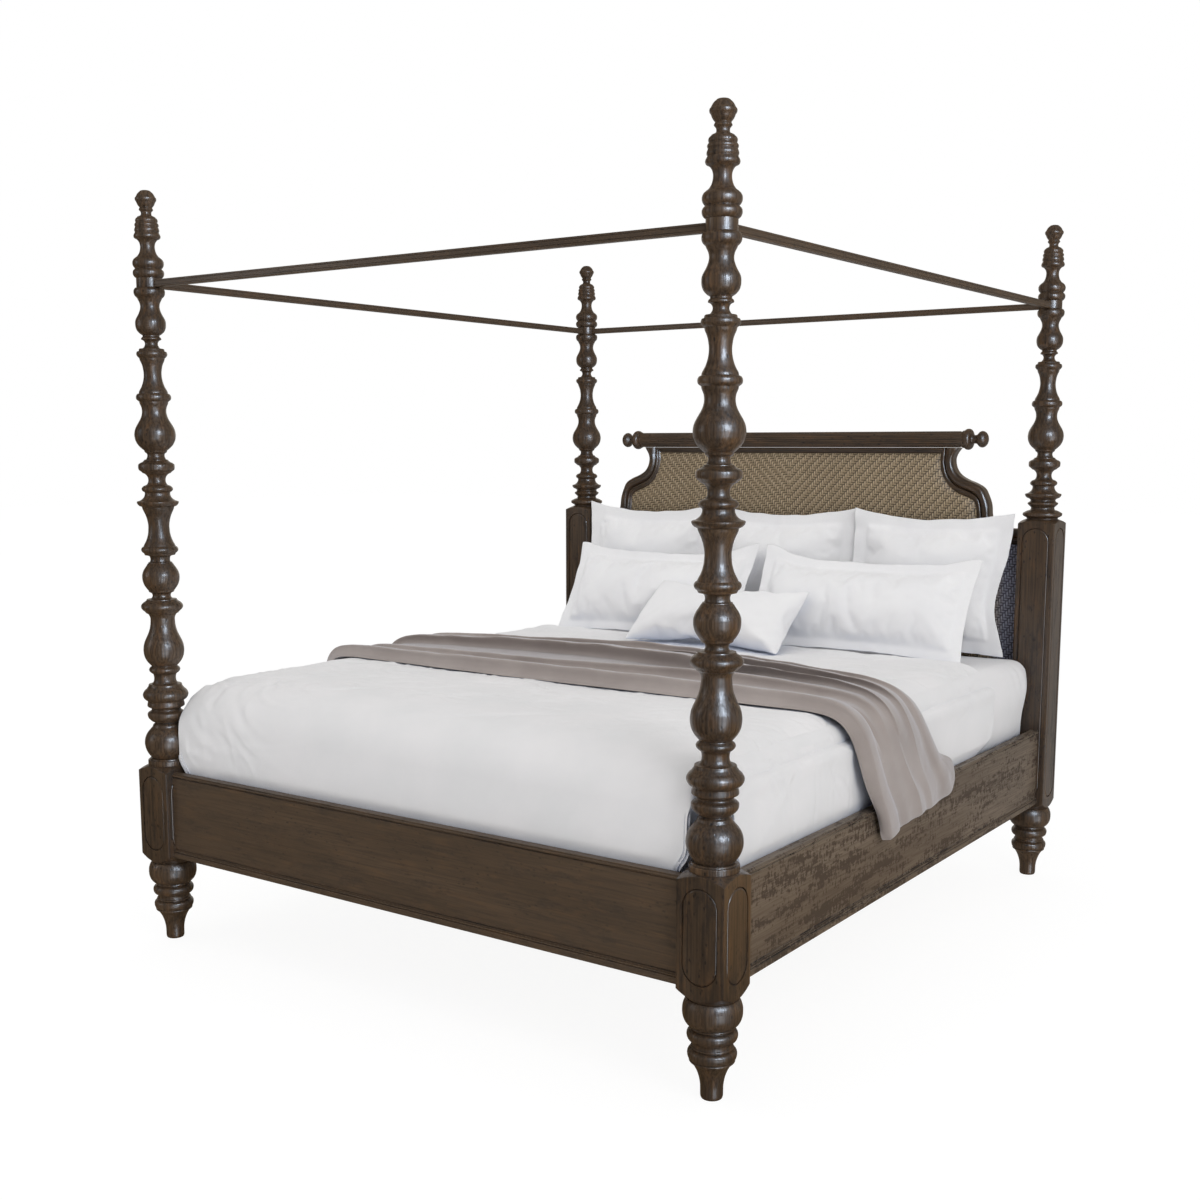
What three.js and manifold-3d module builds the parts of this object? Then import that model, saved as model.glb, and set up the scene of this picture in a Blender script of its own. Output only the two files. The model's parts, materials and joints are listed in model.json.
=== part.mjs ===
// Four-poster bed, king size: turned posts with a canopy, a shaped headboard and dressed bedding.
// Millimetres, +Z up. Origin: on the floor at the centre of the footprint.
// +X to the right seen from the foot, +Y towards the headboard.
import * as THREE from "three";
import { mergeVertices } from "three/addons/utils/BufferGeometryUtils.js";
import Module from "manifold-3d";

const wasm = await Module();
wasm.setup();

// ---- driving dimensions ----------------------------------------------------
const GAP = 0.3; // clearance between touching pieces
const HEIGHT = 2270; // top of the finials
const POST_X = 977.5; // post centre line, half width
const POST_Y = 1110; // post centre line, half length
const BLOCK = 129; // square post block
const RAIL_LOW = 275;
const RAIL_TOP = 538;
const RAIL_IN = 10; // rail inner face, outside the post centre plane
const RAIL_OUT = 38; // rail outer face, outside the post centre plane
const SEAT_Z = 300; // top of the slat ledgers
const SLAT_T = 19;
const MATTRESS_X = 966; // half width
const MATTRESS_Y0 = -992;
const MATTRESS_Y1 = 1041;
const MATTRESS_TOP = 788;
const DUVET_TOP = 813;

// Where pieces between the posts end, just clear of the blocks' faces.
const BETWEEN_X = POST_X - BLOCK / 2 - GAP;
const BETWEEN_Y = POST_Y - BLOCK / 2 - GAP;
const RAIL_FACE_X = POST_X + RAIL_IN - GAP; // just clear of the side rails' inner faces

const SIDES = [["left", -1], ["right", 1]];
const ENDS = [["foot", -1], ["head", 1]];

// ---- materials ---------------------------------------------------------------
const material = (settings) => new THREE.MeshStandardMaterial(settings);
const wood = () => material({ color: 0x42342a, roughness: 0.42 });
const pine = () => material({ color: 0xb89468, roughness: 0.7 });
const steel = () => material({ color: 0x8a8d90, roughness: 0.4, metalness: 0.9 });
const raffia = () => material({ color: 0x9c8a6b, roughness: 0.75 });
const cotton = () => material({ color: 0xe6e5e6, roughness: 0.85 });
const ticking = () => material({ color: 0xd9d6cf, roughness: 0.85 });
const throwCloth = () => material({ color: 0x8c807a, roughness: 0.9 });

// ---- shared helpers ------------------------------------------------------------
const bed = new THREE.Group();

function put(name, geometry, finish, [x, y, z] = [0, 0, 0], parent = bed) {
  const mesh = new THREE.Mesh(geometry, finish);
  mesh.name = name;
  mesh.position.set(x, y, z);
  parent.add(mesh);
  return mesh;
}

// Closed geometry to a manifold solid. Normals and uvs go first, so that seam vertices merge.
function solid(geometry) {
  geometry.deleteAttribute("normal");
  geometry.deleteAttribute("uv");
  const merged = mergeVertices(geometry, 1e-3);
  return new wasm.Manifold(
    new wasm.Mesh({
      numProp: 3,
      vertProperties: merged.attributes.position.array,
      triVerts: new Uint32Array(merged.index.array),
    }),
  );
}

function geometryOf(manifold) {
  const { vertProperties, triVerts } = manifold.getMesh();
  const geometry = new THREE.BufferGeometry();
  const positions = new THREE.BufferAttribute(new Float32Array(vertProperties), 3);
  geometry.setAttribute("position", positions);
  geometry.setIndex(new THREE.BufferAttribute(new Uint32Array(triVerts), 1));
  geometry.computeVertexNormals();
  return geometry;
}

const centred = (half) => [-half, half];

// A box from its [low, high] range on each axis.
function box([x0, x1], [y0, y1], [z0, z1]) {
  const geometry = new THREE.BoxGeometry(x1 - x0, y1 - y0, z1 - z0);
  geometry.translate((x0 + x1) / 2, (y0 + y1) / 2, (z0 + z1) / 2);
  return geometry;
}

const vectors = (points) => points.map(([a, b]) => new THREE.Vector2(a, b));

// A polygon in the XY plane, from z0 to z1.
function plateXY(points, [z0, z1]) {
  const shape = new THREE.Shape(vectors(points));
  const geometry = new THREE.ExtrudeGeometry(shape, { depth: z1 - z0, bevelEnabled: false });
  geometry.translate(0, 0, z0);
  return geometry;
}

// A polygon in the XZ plane, thickened from y0 to y1.
function plateXZ(points, [y0, y1]) {
  const geometry = plateXY(points, [0, y1 - y0]);
  geometry.rotateX(Math.PI / 2); // the shape's y becomes z, and its depth runs along -Y
  geometry.translate(0, y1, 0);
  return geometry;
}

// Points reflected to the other side of x = 0, in reverse order to keep the winding.
const flipped = (points) => points.map(([x, z]) => [-x, z]).reverse();
const mirror = (half) => [...half, ...flipped(half)];

// Revolves [r, z] points about Z.
function lathe(points, segments) {
  const geometry = new THREE.LatheGeometry(vectors(points), segments);
  geometry.rotateX(Math.PI / 2);
  return geometry;
}

// Drops profile points that lie within the tolerance of the chord.
function thin(points, tolerance) {
  const first = points[0];
  const last = points[points.length - 1];
  const dx = last[0] - first[0];
  const dy = last[1] - first[1];
  const length = Math.hypot(dx, dy);
  let worst = 0;
  let split = 0;
  points.forEach(([x, y], i) => {
    const distance = Math.abs((x - first[0]) * dy - (y - first[1]) * dx) / length;
    if (distance > worst) [worst, split] = [distance, i];
  });
  if (worst <= tolerance) return [first, last];
  const before = thin(points.slice(0, split + 1), tolerance);
  return [...before, ...thin(points.slice(split), tolerance).slice(1)];
}

// A turning about Z. The profile runs from the top down as [z, r]; the ends close on the axis.
// A bore { r, depth } goes down into the top, and a stud { r, depth } stands below the bottom.
function turning(profile, { tolerance = 3.6, bore, stud } = {}) {
  const upward = thin(profile, tolerance).reverse();
  const low = upward[0][0];
  const top = upward[upward.length - 1][0];
  const points = [];
  if (stud) points.push([0, low - stud.depth], [stud.r, low - stud.depth], [stud.r, low]);
  else points.push([0, low]);
  for (const [z, r] of upward) if (r > 0) points.push([r, z]);
  if (bore) points.push([bore.r, top], [bore.r, top - bore.depth], [0, top - bore.depth]);
  else points.push([0, top]);
  return lathe(points, 12);
}

// ---- posts -----------------------------------------------------------------------
const POST_TOP = 2017; // top of the post's plain band, under the finial
const BAND_R = 36;
const SPLIT_Z = 1345; // foot posts: lower and upper shaft meet here, under the flared disc
const SPLIT_R = 47;
const BLOCK_BASE = 253; // underside of every block
const BLOCK_LOW = 277; // lower corners of every block
const CORNER_R = 91.3; // just outside the block's corners
const LEG_TOP_R = 62;
// Upper corners of the block, then the height and radius of the cone's flat top.
const BLOCKS = {
  foot: { cornerTop: 537, top: 555, topR: 60 },
  head: { cornerTop: 1258, top: 1274, topR: 55 },
};
const STUD = { r: 5, depth: 42 }; // under the finial
const BORE = { r: 5.8, depth: STUD.depth + 5 }; // in the post top, for the stud

// Turning profiles, top down: [z, r].
const FINIAL = [
  [HEIGHT, 0], [2268, 12.2], [2264, 18.2], [2260, 22.1], [2252, 26.6], [2244, 31], [2237, 28],
  [2228, 24.1], [2219.5, 17.6], [2213, 20.6], [2209, 17], [2202, 14.5], [2197, 16.5], [2193, 25],
  [2184, 32.4], [2177, 30.5], [2168, 34.3], [2160, 34.4], [2149, 33.5], [2138, 38.7], [2130, 33],
  [2124, 25.2], [2112, 20.9], [2100, 21.3], [2088, 25], [2080, 30.4], [2073, 38.5], [2064, 44.5],
  [2056, 44.6], [2045, 37.8], [2036, 44.6], [2028, 44.6], [2020, 39.9], [POST_TOP + GAP, BAND_R],
];
const UPPER = [
  [POST_TOP, BAND_R], [1990, BAND_R], [1988, 41], [1980, 45.2], [1968, 43.4], [1961, 36.5],
  [1952, 31.7], [1940, 27.7], [1932, 27.6], [1920, 31], [1908, 36.5], [1900, 41.1], [1890, 44],
  [1876, 43.5], [1864, 38.9], [1853, 26], [1848, 24.2], [1842, 28.9], [1836, 21.9], [1828, 18],
  [1820, 20], [1813, 27], [1812, 35.8], [1800, 44.5], [1794, 44.5], [1787, 37.5], [1780, 35.8],
  [1768, 30.2], [1752, 26.8], [1740, 25.6], [1724, 27], [1708, 30.9], [1696, 36.3], [1688, 41],
  [1680, 47], [1674, 50.5], [1664, 49.9], [1658, 42], [1648, 38.9], [1636, 35.4], [1624, 35.3],
  [1612, 38.3], [1600, 44.2], [1588, 51.4], [1576, 57], [1560, 60], [1544, 57.7], [1532, 51.9],
  [1520, 41.2], [1505, 27], [1499, 24.8], [1490, 27.2], [1485, 34.7], [1476, 47.5], [1470, 52.6],
  [1458, 52], [1450, 43.5], [1443, 33], [1434, 26.4], [1422, 25.3], [1412, 29.6], [1404, 44],
  [1397, 45.8], [1390, 38], [1384, 36.5], [1372, 41.3], [1368, 44.9], [1361, 61], [1356, 60.5],
  [1348, 54.2],
];
// Head posts only, from under the flared disc to the block.
const NECK = [
  [1339, 41], [1335, 44], [1329.5, 51.5], [1323, 49], [1313, 38.5], [1306, 42], [1301, 57],
  [1291, 66.7], [1281, 60], [1278, 52], [BLOCKS.head.top + GAP, 51.6],
];
const LOWER = [
  [SPLIT_Z, SPLIT_R], [1336, 44.3], [1320, 37.2], [1304, 32.7], [1288, 30.6], [1264, 32.2],
  [1248, 36.8], [1236, 42.2], [1227, 47], [1220, 54.1], [1213, 54], [1206, 46.5], [1200, 44],
  [1196, 30.8], [1187, 28.4], [1178, 32], [1176, 35], [1164, 43.8], [1152, 51], [1138, 54.5],
  [1122, 53.6], [1108, 48.9], [1096, 40.5], [1086, 32], [1078, 26.4], [1069, 30], [1066, 44],
  [1056, 54.5], [1046, 61.7], [1038, 60.5], [1029, 51.5], [1020, 41.3], [1008, 35.8], [984, 37.4],
  [964, 42.8], [944, 51.9], [928, 58], [910, 60], [892, 57.8], [876, 50.3], [862, 37.5],
  [856, 43.8], [850, 46.4], [842, 42.5], [837, 35.5], [824, 32], [813, 33.5], [805, 40],
  [804, 48.8], [797, 50.5], [786, 61], [773, 67.6], [760, 63], [751, 52.8], [740, 56], [730, 44],
  [725, 42.5], [717, 54.5], [708, 55.6], [698, 52], [686, 35.5], [678, 41], [670, 44.5],
  [660, 54.5], [650, 61], [635, 66.3], [622, 67.4], [605, 64.5], [590, 57.7], [576, 47],
  [575, 54], [570, 54], [569.5, 59.5], [BLOCKS.foot.top + GAP, 59.5],
];
const LEG = [
  [BLOCK_BASE - GAP, LEG_TOP_R], [244, 65.2], [232, 70], [220, 71.7], [204, 70.5], [192, 65.9],
  [178, 54], [168, 59.9], [160, 61], [148, 58.6], [136, 48.7], [128, 53.5], [116, 59], [102, 57.4],
  [92, 50.4], [80, 42.2], [68, 36], [52, 30.8], [36, 28], [8, 27.3], [0, 24],
];

// A square block whose ends are turned to shallow cones.
function block({ cornerTop, top, topR }) {
  const side = centred(BLOCK / 2);
  const body = solid(box(side, side, [BLOCK_BASE - 3, top + 5]));
  const envelope = lathe(
    [
      [0, BLOCK_BASE], [LEG_TOP_R, BLOCK_BASE], [66, BLOCK_BASE + 3],
      [CORNER_R, BLOCK_LOW], [CORNER_R, cornerTop], [topR, top], [0, top],
    ],
    24,
  );
  envelope.rotateZ(Math.PI / 24); // half a facet
  return geometryOf(body.intersect(solid(envelope)));
}

function addPost(end, endSign, side, sideSign) {
  const post = new THREE.Group();
  post.position.set(sideSign * POST_X, endSign * POST_Y, 0);
  bed.add(post);
  const part = (name, geometry) =>
    put(`${name}_${end}_${side}`, geometry, wood(), [0, 0, 0], post);

  part("leg", turning(LEG));
  part("post_block", block(BLOCKS[end]));
  if (end === "foot") {
    part("post_lower", turning(LOWER));
    part("post_upper", turning([...UPPER, [SPLIT_Z + GAP, SPLIT_R]], { bore: BORE }));
  } else {
    part("post_upper", turning([...UPPER, [SPLIT_Z, SPLIT_R], ...NECK], { bore: BORE }));
  }
  part("finial", turning(FINIAL, { tolerance: 2.8, stud: STUD }));
}

for (const [end, endSign] of ENDS)
  for (const [side, sideSign] of SIDES) addPost(end, endSign, side, sideSign);

// ---- canopy rails -------------------------------------------------------------------
const CANOPY_BAR = 21; // square section
const CANOPY_Z = 2000.8; // centre line
const CANOPY_INSET = BAND_R + 0.7; // from the post centre line to the rail's end

const barWidth = centred(CANOPY_BAR / 2);
const barHeight = [CANOPY_Z - CANOPY_BAR / 2, CANOPY_Z + CANOPY_BAR / 2];
for (const [side, sign] of SIDES) {
  const bar = box(barWidth, centred(POST_Y - CANOPY_INSET), barHeight);
  put(`canopy_rail_${side}`, bar, wood(), [sign * POST_X, 0, 0]);
}
for (const [end, sign] of ENDS) {
  const bar = box(centred(POST_X - CANOPY_INSET), barWidth, barHeight);
  put(`canopy_rail_${end}`, bar, wood(), [0, sign * POST_Y, 0]);
}

// ---- rails, ledgers and brackets --------------------------------------------------------
const BASE_OUT = 44; // base moulding outer face, outside the post centre plane
const BASE_TOP = 296;
const LEDGER = { width: 32, height: 25, halfLength: 1000 };
// Angle bracket: arm lengths along the block's face and along the rail.
const BRACKET = { blockArm: 45, railArm: 70, thickness: 3, heights: [345, 470] };

// Sections: [distance outwards from the post centre plane, z].
const RAIL_SECTION = [ // with a small bead along the top
  [RAIL_IN, RAIL_LOW], [RAIL_OUT, RAIL_LOW], [RAIL_OUT, RAIL_TOP - 10],
  [RAIL_OUT + 2, RAIL_TOP - 8], [RAIL_OUT + 2, RAIL_TOP - 3], [RAIL_OUT - 1, RAIL_TOP],
  [RAIL_IN, RAIL_TOP],
];
const BASE_SECTION = [
  [RAIL_OUT + GAP, RAIL_LOW], [BASE_OUT - 2, RAIL_LOW], [BASE_OUT, RAIL_LOW + 2],
  [BASE_OUT, BASE_TOP - 4], [BASE_OUT - 2, BASE_TOP], [RAIL_OUT + GAP, BASE_TOP],
];

function sideRun(section, sign) {
  const points = section.map(([out, z]) => [POST_X + out, z]);
  return plateXZ(sign > 0 ? points : flipped(points), centred(BETWEEN_Y));
}

function footRun(section) {
  const points = section.map(([out, z]) => [POST_Y + out, z]);
  const geometry = plateXZ(points, centred(BETWEEN_X));
  geometry.rotateZ(-Math.PI / 2); // +X of the section turns to -Y
  return geometry;
}

function ledger(sign) {
  const inner = RAIL_FACE_X - LEDGER.width;
  const across = sign > 0 ? [inner, RAIL_FACE_X] : [-RAIL_FACE_X, -inner];
  return box(across, centred(LEDGER.halfLength), [SEAT_Z - LEDGER.height, SEAT_Z]);
}

// An angle from the rail's inner face to the block's face.
function bracket(sideSign, endSign) {
  const { blockArm, railArm, thickness, heights } = BRACKET;
  const [x, y] = [RAIL_FACE_X, BETWEEN_Y];
  const points = [
    [x, y], [x - blockArm, y], [x - blockArm, y - thickness],
    [x - thickness, y - thickness], [x - thickness, y - railArm], [x, y - railArm],
  ].map(([px, py]) => [sideSign * px, endSign * py]);
  return plateXY(sideSign * endSign > 0 ? points : points.reverse(), heights);
}

for (const [side, sign] of SIDES) {
  put(`side_rail_${side}`, sideRun(RAIL_SECTION, sign), wood());
  put(`rail_base_moulding_${side}`, sideRun(BASE_SECTION, sign), wood());
  put(`slat_ledger_${side}`, ledger(sign), pine());
  for (const [end, endSign] of ENDS)
    put(`rail_bracket_${end}_${side}`, bracket(sign, endSign), steel());
}
put("footboard_rail", footRun(RAIL_SECTION), wood());
put("rail_base_moulding_foot", footRun(BASE_SECTION), wood());

// ---- headboard -----------------------------------------------------------------------------
const FRAME_LOW = 1183; // underside of the frame at the posts
const PANEL_GAP = 0.6; // clearance between the panels and the frame's opening
// Thickness ranges along Y.
const LOWER_RAIL_Y = [1092, 1124];
const FRAME_Y = [1086, 1134];
const OPENING_Y = [1050, 1170]; // cuts right through the frame
const WEAVE_Y = [1090, 1110];
const BACK_Y = [1110.4, 1122];

// Edges of the frame, right half, from the post to the top: [x, z].
const OUTER = [
  [BETWEEN_X, 1238], [855, 1238], [828, 1241], [810, 1249], [799, 1262], [794, 1278],
  [792, 1292], [789, 1321], [777, 1353], [763, 1377], [735, 1394], [702, 1407], [672, 1425],
  [655, 1450], [650, 1478], [656, 1498], [672, 1520.6],
];
const INNER = [
  [BETWEEN_X, FRAME_LOW], [840, FRAME_LOW], [800, 1186], [775, 1195], [757, 1212], [746, 1235],
  [741, 1262], [739, 1286], [735, 1315], [727, 1330], [705, 1343], [660, 1361], [633, 1381],
  [612, 1410], [600, 1443], [595.5, 1474], [598, 1497],
];

function headboardFrame() {
  const outline = solid(plateXZ(mirror([[BETWEEN_X, FRAME_LOW], ...OUTER]), FRAME_Y));
  const openingHalf = [[1000, 1000], [1000, FRAME_LOW], ...INNER.slice(1)];
  return geometryOf(outline.subtract(solid(plateXZ(mirror(openingHalf), OPENING_Y))));
}

// The panels' outline: the frame's inner edge, moved inwards square to itself.
function panelOutline() {
  const inset = INNER.slice(1, -1).map(([x, z], i) => {
    const [before, after] = [INNER[i], INNER[i + 2]];
    const dx = after[0] - before[0];
    const dz = after[1] - before[1];
    const length = Math.hypot(dx, dz);
    return [x - (dz / length) * PANEL_GAP, z + (dx / length) * PANEL_GAP];
  });
  const edgeX = BETWEEN_X - GAP;
  const [topX, topZ] = INNER[INNER.length - 1];
  return mirror([
    [edgeX, RAIL_TOP + GAP],
    [edgeX, FRAME_LOW - PANEL_GAP],
    ...inset,
    [topX - PANEL_GAP, topZ - PANEL_GAP],
  ]);
}

const lowerRail = box(centred(BETWEEN_X), LOWER_RAIL_Y, [RAIL_LOW, RAIL_TOP]);
put("headboard_lower_rail", lowerRail, wood());
put("headboard_frame", headboardFrame(), wood());
put("headboard_weave_panel", plateXZ(panelOutline(), WEAVE_Y), raffia());
put("headboard_back_panel", plateXZ(panelOutline(), BACK_Y), wood());

// ---- crest roll and knobs ----------------------------------------------------------------------
const ROLL_R = 29;
const ROLL_HALF = 688; // half length
const ROLL_CENTRE = [0, 1098, 1550];
// From the tip inwards: [distance from the roll's middle, r].
const KNOB = [
  [778, 0], [777, 14], [771, 24], [760, 29.5], [750, 29], [741, 22], [736, 15.5], [728, 14.8],
  [721, 19], [716, 31], [706, 38], [698, 36], [694, 31], [ROLL_HALF + GAP, 30.5],
];

const roll = new THREE.CylinderGeometry(ROLL_R, ROLL_R, 2 * ROLL_HALF, 20);
roll.rotateZ(Math.PI / 2);
put("crest_roll", roll, wood(), ROLL_CENTRE);
for (const [side, sign] of SIDES) {
  const knob = turning(KNOB, { tolerance: 2.2 });
  knob.rotateY((sign * Math.PI) / 2); // the turning's axis lies along the roll
  put(`crest_knob_${side}`, knob, wood(), ROLL_CENTRE);
}

// ---- slats and centre legs ------------------------------------------------------------------------
const SLAT_PITCH = 430;
const SLAT_WIDTH = 90;
const SLAT_HALF = 982; // half length
const CENTRE_LEG = 40; // square shaft
const PAD = { r: 25, height: 10 };

function slat(y) {
  const along = [y - SLAT_WIDTH / 2, y + SLAT_WIDTH / 2];
  return box(centred(SLAT_HALF), along, [SEAT_Z + GAP, SEAT_Z + SLAT_T]);
}

function centreLeg() {
  const side = centred(CENTRE_LEG / 2);
  const shaft = solid(box(side, side, [PAD.height - 2, SEAT_Z])); // sunk 2 into the pad
  const pad = new THREE.CylinderGeometry(PAD.r, PAD.r, PAD.height, 16);
  pad.rotateX(Math.PI / 2);
  pad.translate(0, 0, PAD.height / 2);
  return geometryOf(shaft.add(solid(pad)));
}

for (let i = 1; i <= 5; i++) put(`slat_${i}`, slat((i - 3) * SLAT_PITCH), pine());
for (let i = 1; i <= 3; i++)
  put(`centre_leg_${i}`, centreLeg(), pine(), [0, (i - 2) * SLAT_PITCH, 0]);

// ---- box spring and mattress ------------------------------------------------------------------------
const SPRING_LOW = SEAT_Z + SLAT_T + GAP;
const SPRING_TOP = SPRING_LOW + 200;

// A box of mattress length with rounded vertical corners and softened top and bottom edges.
function softBox({ halfWidth, heights: [z0, z1], corner, bevel }) {
  const x = halfWidth - bevel;
  const y0 = MATTRESS_Y0 + bevel;
  const y1 = MATTRESS_Y1 - bevel;
  const r = corner - bevel;
  const shape = new THREE.Shape();
  shape.moveTo(-x + r, y0);
  shape.lineTo(x - r, y0);
  shape.quadraticCurveTo(x, y0, x, y0 + r);
  shape.lineTo(x, y1 - r);
  shape.quadraticCurveTo(x, y1, x - r, y1);
  shape.lineTo(-x + r, y1);
  shape.quadraticCurveTo(-x, y1, -x, y1 - r);
  shape.lineTo(-x, y0 + r);
  shape.quadraticCurveTo(-x, y0, -x + r, y0);
  const geometry = new THREE.ExtrudeGeometry(shape, {
    depth: z1 - z0 - 2 * bevel,
    bevelThickness: bevel,
    bevelSize: bevel,
    bevelSegments: 2,
    curveSegments: 3,
  });
  geometry.translate(0, 0, z0 + bevel);
  return geometry;
}

const spring = { halfWidth: MATTRESS_X - 8, heights: [SPRING_LOW, SPRING_TOP] };
const mattress = { halfWidth: MATTRESS_X, heights: [SPRING_TOP + GAP, MATTRESS_TOP] };
put("box_spring", softBox({ ...spring, corner: 40, bevel: 6 }), ticking());
put("mattress", softBox({ ...mattress, corner: 60, bevel: 18 }), cotton());

// ---- duvet and throw -----------------------------------------------------------------------------
// A slab over the mattress, its sides inside the rails and a thick foot between the foot posts.
function duvet() {
  const sideX = POST_X + RAIL_IN - 3;
  const footX = 900; // half width between the foot posts
  const footY = -POST_Y - RAIL_IN + 3;
  const stepY = -1042; // where the foot narrows
  const headY = 690;
  const plan = [
    [-footX, footY], [footX, footY], [footX, stepY], [sideX, stepY],
    [sideX, headY], [-sideX, headY], [-sideX, stepY], [-footX, stepY],
  ];
  const capPlan = plan.map(([x, y]) => [x * 0.975, y > 0 ? y : y + 20]); // drawn in
  const shell = solid(plateXY(plan, [482, DUVET_TOP - 30]));
  const cap = solid(plateXY(capPlan, [DUVET_TOP - 40, DUVET_TOP]));
  // Room for the mattress, open below and at the head.
  const core = box(centred(MATTRESS_X + 1), [MATTRESS_Y0 - 1, 1200], [300, MATTRESS_TOP + 0.5]);
  return geometryOf(shell.add(cap).subtract(solid(core)));
}

// Throw section, right half: [x, z]. It hangs outside both side rails.
const THROW_OVER = [
  [1023.5, 460], [1036, 460], [1036, 540], [1018, 760], [1000, 812], [975, 828],
];
const THROW_UNDER = [[960, DUVET_TOP + 1.5], [990, 800], [1003, 770], [1023.5, 540]];
const THROW_Y = [-420, 220];

const throwRing = [...mirror(THROW_OVER), ...flipped(THROW_UNDER), ...THROW_UNDER];
put("duvet", duvet(), cotton());
put("throw_blanket", plateXZ(throwRing, THROW_Y), throwCloth());

// ---- pillows ---------------------------------------------------------------------------------------
const PINCH_X = 0.035; // how far the sides draw in midway, as a share of the half width
const PINCH_Y = 0.05; // the same for the upper and lower edges, of the half height

// Fullness from 1 at the middle to 0 at the flange; t is the share of the way out.
const fullness = (t) => Math.pow(Math.max(0, 1 - Math.min(1, t) ** 2.6), 0.6);

// Crowned between thin edges (half thickness: edge), pulled in between its corners.
// Local x is its width, y its height, z its front.
function pillow({ width, height, thickness, edge, flange }) {
  const geometry = new THREE.BoxGeometry(width, height, 2 * edge, 8, 6, 1);
  const position = geometry.attributes.position;
  const [halfW, halfH] = [width / 2, height / 2];
  for (let i = 0; i < position.count; i++) {
    const x = position.getX(i);
    const y = position.getY(i);
    const z = position.getZ(i);
    const full = fullness(Math.abs(x) / (halfW - flange)) * fullness(Math.abs(y) / (halfH - flange));
    const crown = (thickness / 2 - edge) * full;
    const pinchedX = x * (1 - PINCH_X * (1 - (y / halfH) ** 2));
    const pinchedY = y * (1 - PINCH_Y * (1 - (x / halfW) ** 2));
    position.setXYZ(i, pinchedX, pinchedY, z + Math.sign(z) * crown);
  }
  return geometry;
}

// Stands a pillow with its lower and upper edges at the given [y, z].
function stand(name, x, { lower: [y0, z0], upper: [y1, z1], roll = 0, ...size }) {
  const height = Math.hypot(y1 - y0, z1 - z0);
  const centre = [x, (y0 + y1) / 2, (z0 + z1) / 2];
  const mesh = put(name, pillow({ ...size, height }), cotton(), centre);
  mesh.rotation.set(Math.atan2(z1 - z0, y1 - y0), 0, 0);
  mesh.rotateZ(roll);
}

const SHAM = { edge: 4, flange: 50 };
const EURO = { ...SHAM, lower: [988, 795], upper: [1050, 1300], width: 602, thickness: 110 };
const KING = { ...SHAM, lower: [690, 819], upper: [888, 1130], width: 840, thickness: 140 };
const LUMBAR = {
  lower: [448, 836], upper: [706, 1030], width: 610, thickness: 130, edge: 5, flange: 0,
  roll: -0.03,
};

for (const [place, x] of [["left", -607], ["middle", 0], ["right", 607]])
  stand(`euro_sham_${place}`, x, EURO);
for (const [side, sign] of SIDES) stand(`king_sham_${side}`, sign * 430, KING);
stand("lumbar_pillow", -25, LUMBAR);

export default bed;
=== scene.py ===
"""Four-poster bed, king size: turned posts, moulded rails, woven headboard and bedding.

The bed stands on z = 0 and is centred on x and y, with its head towards +y and its foot
towards -y; "left" is -x. Sizes are in millimetres unless a comment says otherwise, and
meshes are scaled to metres as they are made. Materials, lights and camera are in metres.
"""
import json
import math

import bmesh
import bpy
import numpy as np
from mathutils import Matrix, Vector

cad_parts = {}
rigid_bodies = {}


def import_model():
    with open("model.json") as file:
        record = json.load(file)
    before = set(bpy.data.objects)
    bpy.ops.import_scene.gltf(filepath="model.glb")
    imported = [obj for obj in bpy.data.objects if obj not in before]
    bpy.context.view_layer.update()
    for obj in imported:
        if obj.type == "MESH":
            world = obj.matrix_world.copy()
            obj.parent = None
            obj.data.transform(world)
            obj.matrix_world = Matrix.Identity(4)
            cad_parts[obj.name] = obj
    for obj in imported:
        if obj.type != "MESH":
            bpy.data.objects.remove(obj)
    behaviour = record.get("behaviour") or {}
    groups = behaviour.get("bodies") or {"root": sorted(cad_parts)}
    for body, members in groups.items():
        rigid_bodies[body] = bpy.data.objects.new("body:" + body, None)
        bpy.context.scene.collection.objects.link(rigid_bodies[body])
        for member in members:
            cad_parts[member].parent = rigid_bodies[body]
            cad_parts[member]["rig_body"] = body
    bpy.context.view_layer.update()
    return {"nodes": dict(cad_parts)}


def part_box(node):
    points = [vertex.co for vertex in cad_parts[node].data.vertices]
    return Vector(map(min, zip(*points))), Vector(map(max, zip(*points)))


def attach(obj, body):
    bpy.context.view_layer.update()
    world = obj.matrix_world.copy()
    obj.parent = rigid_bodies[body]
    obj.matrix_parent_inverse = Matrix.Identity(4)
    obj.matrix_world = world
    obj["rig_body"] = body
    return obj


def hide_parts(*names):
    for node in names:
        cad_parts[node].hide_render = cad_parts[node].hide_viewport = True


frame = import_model()
MM = 0.001

SIDES = {"left": -1, "right": 1}
ENDS = {"foot": -1, "head": 1}
BODY = {name: ob["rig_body"] for name, ob in frame["nodes"].items()}


def centre_mm(node):
    lo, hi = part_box(node)
    return (lo + hi) / 2 * 1000


def box_mm(node):
    """The low and high corners of a node's box."""
    return [[c * 1000 for c in corner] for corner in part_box(node)]


POSTS = {f"{end}_{side}": centre_mm(f"post_block_{end}_{side}") for end in ENDS for side in SIDES}
POST_X = abs(POSTS["foot_right"].x)
POST_Y = abs(POSTS["foot_right"].y)


# =============================================================================
# Shader building
# =============================================================================
def srgb(red, green, blue):
    """Linear RGBA of an 8-bit colour."""
    def linear(level):
        level /= 255.0
        return level / 12.92 if level <= 0.04045 else ((level + 0.055) / 1.055) ** 2.4
    return (linear(red), linear(green), linear(blue), 1.0)


def dimmed(colour, factor):
    return tuple(factor * c for c in colour[:3]) + (1.0,)


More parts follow.
